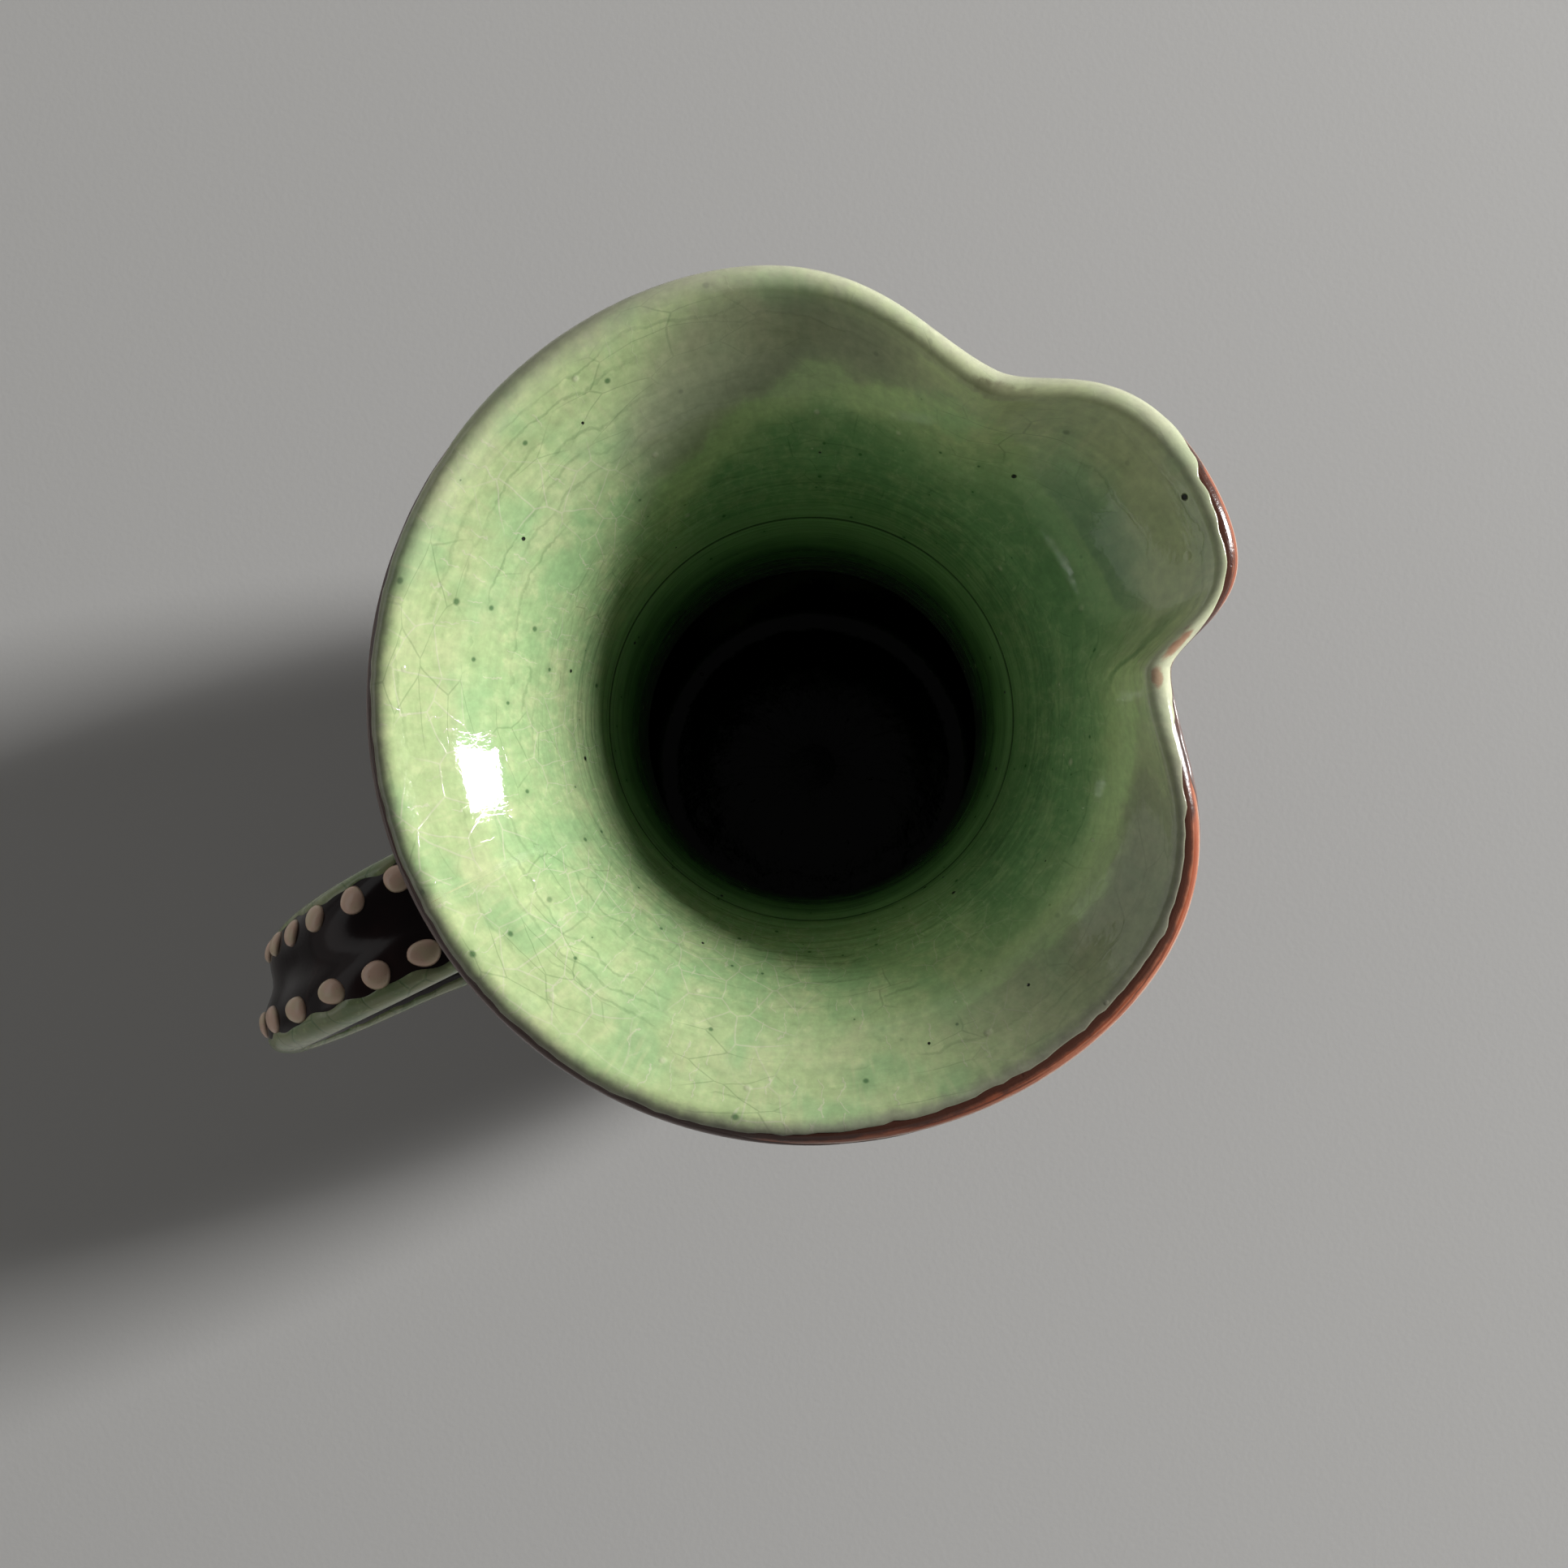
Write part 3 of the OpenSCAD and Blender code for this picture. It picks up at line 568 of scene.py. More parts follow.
def strap_point(handle, path, run, round_angle, grow=0.0, lift=0.0):
    """Point of the strap's skin: a squared oval with a channel sunk in its outer face, lifted, rolled by
    a power of the sine of its share of the length, and carried along the middle line."""
    run, round_angle, grow, lift = np.broadcast_arrays(run, round_angle, grow, lift)
    width = strap_width(handle, path, run) + 2 * grow
    across = width / 2 * signed_power(np.cos(round_angle), SIDE_POWER)
    through = (handle.thickness + 2 * grow) / 2 * signed_power(np.sin(round_angle), FACE_POWER)
    sunk = handle.channel_depth * np.exp(-(2 * across / handle.channel_width) ** 2)
    through = through - np.where(np.sin(round_angle) > 0, sunk, 0) + lift
    roll = handle.roll * np.sin(math.pi * run / path["length"]) ** ROLL_POWER
    across, through = (across * np.cos(roll) - through * np.sin(roll),
                       across * np.sin(roll) + through * np.cos(roll))
    middle = [np.interp(run, path["run"], path["middle"][:, k]) for k in (0, 1)]
    way = [np.interp(run, path["run"], path["way"][:, k]) for k in (0, 1)]
    size = np.hypot(way[0], way[1])
    return np.stack([
        middle[0] - through * way[1] / size, across, middle[1] + through * way[0] / size], axis=-1)


def seated(path, points):
    """Points moved level onto the coated outside: the distance out is the root of radius² less y²."""
    radius = coat_radius(path["coat"], points[..., 2]) - STRAP_BED
    out = np.sqrt(np.maximum(radius ** 2 - points[..., 1] ** 2, 0))
    return np.stack([out, points[..., 1], points[..., 2]], axis=-1)


def behind(handle, points):
    """Handle points turned about the axis from +X to the back of the jug."""
    a = math.pi - handle.turn
    x, y = points[..., 0], points[..., 1]
    return np.stack([
        x * math.cos(a) - y * math.sin(a), x * math.sin(a) + y * math.cos(a), points[..., 2]], axis=-1)


# Meshes

def skin(points, poles=(False, False), loop=False, marks=None):
    """Closed skin over a grid of points (rows, columns, 3): its corners, squares, pole triangles and marks.
    The columns meet again round each row, the rows meet too where loop is set, and a pole draws the first
    or last row together to one point. The faces are turned so that the volume inside is positive."""
    rows, columns = points.shape[:2]
    kept = np.ones((rows, columns), bool)
    kept[0, 1:], kept[-1, 1:] = not poles[0], not poles[1]
    index = np.cumsum(kept).reshape(rows, columns) - 1
    above = index if loop else index[:-1]
    below = np.roll(index, -1, axis=0) if loop else index[1:]
    squares = np.stack([above, below, np.roll(below, -1, axis=1), np.roll(above, -1, axis=1)], axis=-1)
    corners = points[kept]
    halves = np.concatenate([squares[..., [0, 1, 2]], squares[..., [0, 2, 3]]]).reshape(-1, 3)
    a, b, c = (corners[halves[:, k]] for k in range(3))
    if np.einsum("ij,ij->", a, np.cross(b, c)) < 0:
        squares = squares[..., ::-1]
    fans = np.concatenate([
        squares[0][: columns * poles[0], [0, 1, 2]], squares[-1][: columns * poles[1], [0, 1, 3]]])
    squares = squares[int(poles[0]): len(squares) - int(poles[1])].reshape(-1, 4)
    return corners, squares, fans, {key: values[kept] for key, values in (marks or {}).items()}


def piece_from(name, *skins):
    """One object from closed skins, whose corners are numbered on from skin to skin."""
    starts = np.cumsum([0] + [len(s[0]) for s in skins])
    squares, fans = (np.concatenate([s[k] + start for s, start in zip(skins, starts)]) for k in (1, 2))
    mesh = bpy.data.meshes.new(name)
    mesh.from_pydata(np.concatenate([s[0] for s in skins]).tolist(), [], squares.tolist() + fans.tolist())
    mesh.polygons.foreach_set("use_smooth", np.ones(len(squares) + len(fans), bool))
    for key in skins[0][3]:
        values = np.concatenate([s[3][key] for s in skins]).astype(np.float32)
        vector = values.ndim == 2
        layer = mesh.attributes.new(key, "FLOAT_VECTOR" if vector else "FLOAT", "POINT")
        layer.data.foreach_set("vector" if vector else "value", values.ravel())
    mesh.update()
    made = bpy.data.objects.new(name, mesh)
    bpy.context.scene.collection.objects.link(made)
    return made


def settle(piece, material, slot, *nodes):
    """Gives a piece its finish and sets it in place of the CAD nodes that it stands for."""
    piece.data.materials.append(material)
    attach(piece, "root")
    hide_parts(*nodes)


# Finishes

class Shade:
    """A socket of a node tree. Expressions on shades and numbers add Math nodes to the tree."""

    def __init__(self, nodes, socket):
        self.nodes = nodes
        self.socket = socket

    def math(self, operation, *values):
        return self.nodes.node("ShaderNodeMath", {"operation": operation}, dict(enumerate(values)))

    def __add__(self, other):
        return self.math("ADD", self, other)

    def __radd__(self, other):
        return self.math("ADD", other, self)

    def __sub__(self, other):
        return self.math("SUBTRACT", self, other)

    def __rsub__(self, other):
        return self.math("SUBTRACT", other, self)

    def __mul__(self, other):
        return self.math("MULTIPLY", self, other)

    def __rmul__(self, other):
        return self.math("MULTIPLY", other, self)

    def __truediv__(self, other):
        return self.math("DIVIDE", self, other)

    def __abs__(self):
        return self.math("ABSOLUTE", self)

    def __floor__(self):
        return self.math("FLOOR", self)


class Nodes:
    """A node tree whose nodes are added by expressions."""

    def __init__(self, tree):
        self.tree = tree

    def node(self, kind, settings=None, inputs=None, output=0):
        """Adds a node: its settings first, then the values or links of its sockets."""
        made = self.tree.nodes.new(kind)
        for key, value in (settings or {}).items():
            setattr(made, key, value)
        for key, value in (inputs or {}).items():
            if isinstance(value, Shade):
                self.tree.links.new(value.socket, made.inputs[key])
            else:
                made.inputs[key].default_value = value
        return Shade(self, made.outputs[output])

    def parts(self, place, axis):
        return self.node("ShaderNodeSeparateXYZ", inputs={0: place}, output=axis)


class Finish(Nodes):
    """A material whose colours are laid over one another, from a first colour. Scales of noise and cells are
    counts to the metre."""

    def __init__(self, name, first):
        self.material = bpy.data.materials.new(name)
        self.material.use_nodes = True
        super().__init__(self.material.node_tree)
        self.shader = self.tree.nodes["Principled BSDF"]
        self.base = first

    def object_place(self):
        return self.node("ShaderNodeTexCoord", output="Object")

    def mark(self, name, output="Fac"):
        return self.node("ShaderNodeAttribute", {"attribute_name": name}, output=output)

    def stretched(self, place, by):
        return self.node("ShaderNodeVectorMath", {"operation": "MULTIPLY"}, {0: place, 1: by})

    def shifted(self, place, by):
        return self.node("ShaderNodeVectorMath", {"operation": "ADD"}, {0: place, 1: by})

    def away(self, place, point):
        return self.node(
            "ShaderNodeVectorMath", {"operation": "DISTANCE"}, {0: place, 1: point}, output="Value")

    def noise(self, place, scale, detail=2.0, roughness=0.5):
        return self.node("ShaderNodeTexNoise", inputs={
            "Vector": place, "Scale": scale, "Detail": detail, "Roughness": roughness})

    def cells(self, place, scale, feature="F1", output="Distance", flat=False):
        return self.node(
            "ShaderNodeTexVoronoi", {"voronoi_dimensions": "2D" if flat else "3D", "feature": feature},
            {"Vector": place, "Scale": scale}, output)

    def net(self, place, scale, low, high, flat=False):
        """Lines between the cells of a place."""
        return 1 - self.band(self.cells(place, scale, "DISTANCE_TO_EDGE", flat=flat), low, high)

    def specks(self, place, scale, size, most):
        """Round specks in some of the cells of a place."""
        dice = self.parts(self.cells(place, scale, output="Color"), 0)
        return (1 - self.band(self.cells(place, scale), *size)) * self.band(dice, *most)

    def dots(self, place, scale, low, high, most):
        """Round dots of many sizes in some of the cells of a flat place."""
        dice = self.cells(place, scale, output="Color", flat=True)
        far = self.cells(place, scale, flat=True) / (self.parts(dice, 1) * 1.2 + 0.4)
        return (1 - self.band(far, low, high)) * self.band(self.parts(dice, 0), most, most + 0.02)

    def wander(self, place, scale, reach):
        """A place moved about by up to half a reach each way."""
        drift = self.node("ShaderNodeTexNoise", inputs={"Vector": place, "Scale": scale}, output="Color")
        drift = self.shifted(drift, (-0.5, -0.5, -0.5))
        return self.node(
            "ShaderNodeVectorMath", {"operation": "MULTIPLY_ADD"}, {0: drift, 1: (reach,) * 3, 2: place})

    def chance(self, value):
        return self.node("ShaderNodeTexWhiteNoise", {"noise_dimensions": "1D"}, {"W": value})

    def band(self, value, low, high):
        """Eased step from 0 at low to 1 at high."""
        return self.node("ShaderNodeMapRange", {"interpolation_type": "SMOOTHSTEP"}, {
            "Value": value, "From Min": low, "From Max": high})

    def line(self, value, low, high):
        """Line where a value is 0: full up to low from it, and gone at high."""
        return 1 - self.band(abs(value), low, high)

    def mix(self, share, first, second):
        first, second = (c if isinstance(c, Shade) else (*rgb(c), 1.0) for c in (first, second))
        return self.node("ShaderNodeMix", {"data_type": "RGBA"}, {0: share, 6: first, 7: second}, output=2)

    def lay(self, share, colour):
        """Lays a share of a colour over those laid before."""
        self.base = self.mix(share, self.base, colour)

    def done(self, roughness, height):
        """Feeds the shader: colour, roughness, and a bump whose height is in millimetres."""
        bump = self.node("ShaderNodeBump", inputs={"Height": height, "Distance": MILLIMETRE, "Strength": 1.0})
        for key, value in {"Base Color": self.base, "Roughness": roughness, "Normal": bump}.items():
            self.tree.links.new(value.socket, self.shader.inputs[key])
        return self.material


def rgb(value):
    """A colour as plain numbers."""
    return tuple(float(v) for v in value)


def green_glaze_finish(colours, ring_run):
    """Crackled green glaze: pale and flecked near the rim, greener and streaked down the neck. Distances
    are in metres down from the rim (run) or in from the ragged edge of the glaze (edge)."""
    f = Finish("crackled_green_glaze", colours.pale)
    laid = f.mark("laid", "Vector")
    run, edge, pale_rim, turn, shade = (f.mark(key) for key in ("run", "edge", "pale", "turn", "shade"))
    degrees = turn * 360
    broad = f.noise(laid, 38, 2)
    patch = f.noise(laid, 170, 4, 0.6)
    cloud = f.noise(f.shifted(laid, (0.31, 0.17, 0.05)), 120, 3, 0.5)
    fleck = f.noise(f.shifted(laid, (0.70, 0.20, 0.40)), 520, 3, 0.6)
    grain = f.noise(laid, 900, 3, 0.6)
    brush = f.noise(f.stretched(laid, (60, 60, 900)), 1.0, 3, 0.6)
    warp = f.noise(laid, 70, 2) - 0.5
    flat = f.node("ShaderNodeCombineXYZ", inputs={0: turn * (2 * math.pi * PATTERN_RADIUS), 1: run})

    # Pale, green, deep and near-black glaze down the mouth, the near-black partly painted shade; painted
    # shade on the side away from the light
    depth = run + (broad - 0.5) * 0.016 + (patch - 0.5) * 0.006
    near = 1 - f.band(depth, *FLECK_DEPTH)
    f.lay(f.band(depth, *GREEN_DEPTH), colours.green)
    f.lay(f.band(depth, *DEEP_DEPTH), colours.deep)
    # Partly painted shade: the lining turns near black below the throat
    f.lay(f.band(run, *POOLED_SHADE_DEPTH), colours.pooled_shade)
    f.lay(f.band(depth, *SHADED_DEPTH) * near * shade * 0.72, colours.deep)
    # Painted light: a pale band down the side that faces the light
    f.lay(f.band(run, *LIT_BAND_START) * (1 - f.band(run, *LIT_BAND_END)) * (1 - shade) * 0.55, colours.pale)

    # Flecks and clouds near the rim, fewer on the shaded side as part of the painted shade, and rays over its
    # edge
    lit = near * (1 - f.band(depth, *DULLED_DEPTH) * shade * 0.7)
    f.lay(f.band(patch, 0.44, 0.68) * lit * 0.55, colours.yellow)
    f.lay(f.band(fleck, 0.50, 0.68) * lit * 0.35, colours.yellow)
    f.lay(f.band(cloud, 0.46, 0.68) * lit * 0.60, colours.green)
    rays = f.noise(f.stretched(laid, (900, 900, 110)), 1.0, 2)
    f.lay(f.band(rays, 0.52, 0.72) * (1 - f.band(run, *RAY_DEPTH)) * 0.40, colours.yellow)

    # Streaks round the neck
    streak = f.noise(f.stretched(laid, (26, 26, 1500)), 1.0, 3, 0.6)
    down = f.band(run, *STREAK_START) * (1 - f.band(run, *STREAK_END))
    f.lay(f.band(streak, 0.50, 0.70) * down * 0.50, colours.deep)
    f.lay((1 - f.band(streak, 0.30, 0.46)) * down * 0.35, colours.green)

    # Dark lines round the mouth, pale strokes between them, a pale net and dark cracks; strokes and net fade
    # on the shaded side as painted shade
    up_to = 1 - f.band(run, *LINE_DEPTH)
    rows = run * LINES_A_METRE + warp * 2.6 + (patch - 0.5) * 1.4 + (fleck - 0.5) * 0.25
    row = math.floor(rows)
    kept = f.band(f.noise(f.stretched(laid, (34, 34, 330)), 1.0, 2), 0.48, 0.66)
    rings = f.line(rows - row - 0.5, 0.03, 0.13) * kept * up_to
    f.lay(rings * 0.25, colours.spot)
    spokes = turn * STROKES_A_TURN + f.chance(row) * 9 + (patch - 0.5) * 1.8
    spoke = math.floor(spokes)
    ticks = f.line(spokes - spoke - 0.5, 0.012, 0.045) * up_to
    ticks = ticks * f.band(f.chance(row * 7.31 + spoke * 1.37), 0.68, 0.70)
    f.lay(ticks * (1 - shade * 0.8) * 0.60, colours.cream)
    bent = f.wander(flat, 150, 0.0014)
    net = f.net(bent, 190, 0.008, 0.030, flat=True)
    net = net * f.band(f.noise(laid, 48, 1), 0.44, 0.58) * near * (1 - shade * 0.85)
    f.lay(net * 0.55, colours.cream)
    cracks = f.net(f.stretched(bent, (1, 2.2, 1)), 120, 0.006, 0.026, flat=True)
    cracks = cracks * f.band(f.noise(f.shifted(laid, (0.2, 0.1, 0.7)), 70, 1), 0.46, 0.62) * up_to
    f.lay(cracks * 0.26, colours.spot)

    # Green spots in soft rings, raised specks with pale painted glints, and pinholes
    f.lay(f.dots(flat, 150, 0.04, 0.24, 0.72) * 0.18, colours.deep)
    f.lay(f.dots(flat, 150, 0.02, 0.060, 0.72) * 0.75, colours.spot)
    holes = f.dots(f.shifted(flat, (0.4, 0.9, 0.3)), 62, 0.010, 0.020, 0.60)
    glint_pips = f.dots(f.shifted(flat, (0.15, 0.55, 0.95)), 75, 0.010, 0.045, 0.66)
    # Painted highlight: the raised specks are paled as glints
    f.lay(glint_pips * 0.45, colours.cream)

    # Painted reflection: a dull olive tone with a painted highlight along its brink; and the ring's groove
    reflection_share, veil_in = f.mark("veil"), f.mark("veil_in") + (patch - 0.5) * 0.004 + (broad - 0.5) * 0.006
    veil = f.band(veil_in, -0.0002, 0.0007) * reflection_share
    veil = veil * (1 - (1 - f.band(edge, 0.003, 0.009)) * pale_rim)
    f.lay(veil * 0.68, colours.veil)
    f.lay(f.line(veil_in + 0.0011, 0.0004, 0.0030) * reflection_share * 0.70, colours.pale)
    # The ring's groove is darkened with the same near-black colour
    groove = f.line(run - ring_run, 0.00012, 0.00045)
    f.lay(groove * 0.70, colours.pooled_shade)

    # Edge of the glaze: thin and worn, or thick and pale
    thin = 1 - f.band(edge + (grain - 0.5) * 0.0012, 0.0004, 0.0026)
    f.lay(thin * (1 - pale_rim) * 0.75, colours.worn)
    bare = 1 - f.band(edge + (fleck - 0.5) * 0.0008, 0.0001, 0.0009)
    f.lay(bare * (1 - pale_rim) * 0.30, colours.rim_brown)
    thick = 1 - f.band(edge + (fleck - 0.5) * 0.004, 0.0015, 0.0075)
    f.lay(thick * pale_rim * 0.85, colours.cream)

    # Blots at the pinches, a crease beside the lip, the lip's patch of painted shade and a band of painted
    # light along its rim
    for place, half_turn, depth_in, half_depth, strength, blot_colour in BLOTS:
        along, inwards = (degrees - place) / half_turn, (edge - depth_in) / half_depth
        blot = 1 - f.band(along * along + inwards * inwards + (fleck - 0.5) * 2.4, 0.3, 1.3)
        f.lay(blot * strength, getattr(colours, blot_colour))
    crease = f.line(degrees + 14 + (edge - 0.004) * 1100 + (patch - 0.5) * 9, 0.5, 2.2)
    crease = crease * f.band(edge, 0.003, 0.006) * (1 - f.band(edge, 0.011, 0.018))
    f.lay(crease * 0.60, colours.deep)
    # Painted shade in the lip, then painted light along its rim
    lip = 1 - f.band(f.away(f.object_place(), LIP_SHADE_PATCH) + (patch - 0.5) * 0.012, 0.004, 0.016)
    f.lay(lip * 0.60, colours.deep)
    lip_light = f.line(degrees - 14, 24, 38) * f.band(edge, 0.003, 0.005)
    lip_light = lip_light * (1 - f.band(edge + (patch - 0.5) * 0.010, 0.008, 0.014))
    f.lay(lip_light * 0.70, colours.yellow)
    f.lay(holes, PINHOLE)

    light = 1 + near * ((grain - 0.5) * 0.35 + (fleck - 0.5) * 0.35 + (brush - 0.5) * 0.22)
    light = light + down * (brush - 0.5) * 0.50
    f.base = f.node("ShaderNodeHueSaturation", inputs={"Value": light, "Color": f.base})
    roughness = 0.05 + (patch - 0.3) * 0.06 + thin * 0.10 + holes * 0.4
    height = (
        patch * 0.08 + broad * 0.18 + grain * 0.010 + streak * down * 0.05 + glint_pips * 0.05
        - rings * 0.008 + net * 0.004 - cracks * 0.004 + ticks * 0.004 - holes * 0.35 - groove * 0.12)
    return f.done(roughness, height)


def dark_slip_finish(colours, name, sheen, gloss):
    """Glossy dark slip, browner where it lies thin over the crests of the clay, and worn at the rim with a
    painted highlight.
    """
    f = Finish(name, colours.slip)
    place = f.object_place()
    broad = f.noise(place, 55, 3)
    fine = f.noise(place, 620, 3, 0.6)
    rings = f.noise(f.stretched(place, (30, 30, 520)), 1.0, 3)
    f.lay(f.band(rings, 0.52, 0.72) * 0.5 + f.band(broad, 0.52, 0.70) * 0.4, colours.slip_thin)
    specks = f.specks(place, 240, (0.04, 0.12), (0.74, 0.78))
    f.lay(specks * 0.6, colours.rim_brown)
    high = f.parts(place, 2) + (broad - 0.5) * 0.002
    # Painted highlight and real wear: the slip turns pale at the rim
    f.lay(f.band(high, *WORN_HEIGHT) * 0.75, colours.rim_slip_highlight)
    f.shader.inputs["Specular IOR Level"].default_value = gloss
    roughness = sheen + (broad - 0.4) * 0.12 + specks * 0.15
    return f.done(roughness, broad * 0.20 + rings * 0.03 + fine * 0.010 - specks * 0.02)


def red_clay_finish(colours):
    """Red earthenware: matt and gritty at the foot, and streaked glossy red or brown under clear glaze at the
    rim."""
    f = Finish("red_earthenware", colours.clay)
    place, laid = f.object_place(), f.mark("laid", "Vector")
    crown, section, red_share, gap = (f.mark(key) for key in ("crown", "section", "red", "gap"))
    broad = f.noise(place, 90, 3)
    grit = f.noise(place, 1500, 3, 0.7)
    lines = f.noise(f.stretched(place, (40, 40, 1300)), 1.0, 2)
    flecks = f.specks(place, 520, (0.05, 0.16), (0.60, 0.66))
    f.lay(f.band(grit, 0.35, 0.70) * 0.35, colours.rim_clay)
    f.lay(flecks * 0.45, colours.yellow)
    f.lay(f.band(lines, 0.50, 0.68) * 0.25, colours.rim_brown)

    # Rim under clear glaze: brown, or red with a brown line, brown by the green glaze and cream outside, the
    # cream partly a painted highlight
    ends = f.noise(place, 420, 3, 0.6)
    streak = f.noise(f.stretched(laid, (70, 70, 2400)), 1.0, 3, 0.6)
    across = section + (ends - 0.5) * 0.08
    red = f.mix(f.band(streak, 0.38, 0.64), colours.rim_clay, colours.clay)
    middle = f.line(across - 0.56, 0.010, 0.035) * f.band(broad, 0.42, 0.54)
    red = f.mix(middle * 0.6, red, colours.rim_brown)
    red = f.mix((1 - f.band(gap + (ends - 0.5) * 0.16, 0.10, 0.24)) * 0.90, red, colours.rim_brown)
    # Cream outer edge: thin glaze, partly a painted highlight on the rounded rim
    red = f.mix((1 - f.band(across, 0.38, 0.48)) * f.band(broad, 0.30, 0.46) * 0.85, red, colours.dot)
    brown = f.mix(f.band(streak, 0.40, 0.66) * 0.6, colours.rim_brown, colours.stain)
    f.lay(crown, f.mix(red_share, brown, red))
    roughness = f.node("ShaderNodeMix", {"data_type": "FLOAT"}, {
        0: crown, 2: 0.78 + (grit - 0.5) * 0.2, 3: 0.16 + (ends - 0.5) * 0.14})
    height = grit * 0.03 + lines * 0.04 + broad * 0.06 + streak * crown * 0.05 - flecks * 0.02
    return f.done(roughness, height)


def edge_glaze_finish(colours):
    """Thin grey-green glaze that has run along the strap's sides."""
    f = Finish("strap_edge_glaze", colours.edge)
    place = f.object_place()
    patch = f.noise(place, 210, 4, 0.6)
    fine = f.noise(place, 900, 3)
    cracks = f.net(place, 150, 0.010, 0.030)
    f.lay(f.band(patch, 0.42, 0.66) * 0.4, colours.deep)
    f.lay(f.band(fine, 0.55, 0.70) * 0.35, colours.pale)
    f.lay(cracks * 0.35, colours.spot)
    return f.done(0.12 + (patch - 0.4) * 0.12, patch * 0.06 + fine * 0.01 - cracks * 0.02)


def cream_slip_finish(colours):
    """Trailed cream slip, browner where it is thin and lighter on its crown."""
    f = Finish("trailed_cream_slip", colours.dot)
    place = f.object_place()
    patch = f.noise(place, 260, 3)
    fine = f.noise(place, 1400, 3, 0.7)
    f.lay(f.band(patch, 0.40, 0.65) * 0.35, colours.yellow)
    f.lay((1 - f.band(f.mark("rise"), 0.05, 0.45)) * 0.5, colours.slip_thin)
    f.lay(f.band(fine, 0.60, 0.75) * 0.25, colours.rim_clay)
    return f.done(0.20 + (patch - 0.4) * 0.15, patch * 0.05 + fine * 0.012)


def pale_floor_finish(colours):
    """Plain matt floor with a fine grain."""
    f = Finish("pale_floor", colours.floor)
    grain = f.noise(f.object_place(), 900, 2)
    f.lay(grain * 0.2, tuple(c * 0.94 for c in colours.floor))
    f.shader.inputs["Specular IOR Level"].default_value = FLOOR_GLOSS
    return f.done(grain * 0.1 + 0.80, grain * 0.02)


# Layers over the clay

def film_room(shape, mouth):
    """How far the clay draws in to make room for the film over the rim, eased in towards the rim."""
    return shape.rim_film * smooth(mouth, *FILM_SHARES)


def film_over(shape, share):
    """Thickness of a layer over the rim at a share of its reach: the film times the root of one less a
    power of the share, and sunk at the very end."""
    round_edge = np.sqrt(np.clip(1 - share ** EDGE_POWER, 0, 1))
    return shape.rim_film * round_edge - FILM_EDGE_BED * (share >= 1)


def layer_pull(shape, mouth, crown_rows):
    """Share of the lip's pull along a layer: a power of the mouth's share on both faces, and one over
    the rim."""
    fade = mouth ** shape.lip_fade
    return np.concatenate([fade, np.ones((crown_rows, TURN_COUNT)), fade[::-BACK_STEP]])


def ripples(run, ring_run, turn):
    """Hollows in the lining, as a move in that is below zero: shallow spiral waves down the neck, bent
    by a slower wave, and a bell-shaped groove at the ring."""
    where = smooth(run, *RIPPLE_START) * (1 - smooth(run, *RIPPLE_END))
    wave = np.sin(2 * math.pi * run / RIPPLE_PITCH + turn + RIPPLE_BEND * np.sin(run * RIPPLE_DRIFT))
    groove = GROOVE_DEPTH * np.exp(-((run - ring_run) / GROOVE_WIDTH) ** 2)
    return (0.5 + 0.5 * wave) * -RIPPLE_HEIGHT * where - groove


def laid_flat(turn, run):
    """Places for patterns: round a cylinder of one radius, with the run along the surface as the height."""
    return np.stack(np.broadcast_arrays(
        PATTERN_RADIUS * np.cos(turn), PATTERN_RADIUS * np.sin(turn), run), axis=-1)


def with_ends(grid):
    """Grid with a row more at each end, at the middle of the row beside it."""
    ends = [np.repeat(grid[i].mean(axis=0)[None, None, :], grid.shape[1], axis=1) for i in (0, -1)]
    return np.concatenate([ends[0], grid, ends[1]])


# Room

def add_panel(name, turn, rise, distance, width, height, power):
    """Soft light at an angle from the lip and a rise above level, facing the mouth."""
    lamp = bpy.data.lights.new(name, "AREA")
    lamp.shape, lamp.size, lamp.size_y, lamp.energy = "RECTANGLE", width, height, power
    panel = bpy.data.objects.new(name, lamp)
    bpy.context.scene.collection.objects.link(panel)
    aim = Vector((0, 0, bpy.context.scene.jug_shape.jug_height))
    towards = Vector((math.cos(rise) * math.cos(turn), math.cos(rise) * math.sin(turn), math.sin(rise)))
    panel.location = aim + distance * towards
    panel.rotation_euler = towards.to_track_quat("Z", "Y").to_euler()


def soft_room(stage):
    """World whose light fades from level to overhead."""
    world = bpy.data.worlds.new("soft_room")
    world.use_nodes = True
    room = Nodes(world.node_tree)
    height = room.parts(room.node("ShaderNodeTexCoord", output="Generated"), "Z")
    strength = room.node("ShaderNodeMapRange", {"interpolation_type": "SMOOTHSTEP"}, {
        "Value": height, "From Min": ROOM_FADE_SHARES[0], "From Max": ROOM_FADE_SHARES[1],
        "To Min": stage.level_light, "To Max": stage.top_light})
    background = room.tree.nodes["Background"]
    background.inputs["Color"].default_value = ROOM_COLOUR
    room.tree.links.new(strength.socket, background.inputs["Strength"])
    return world


# Operators

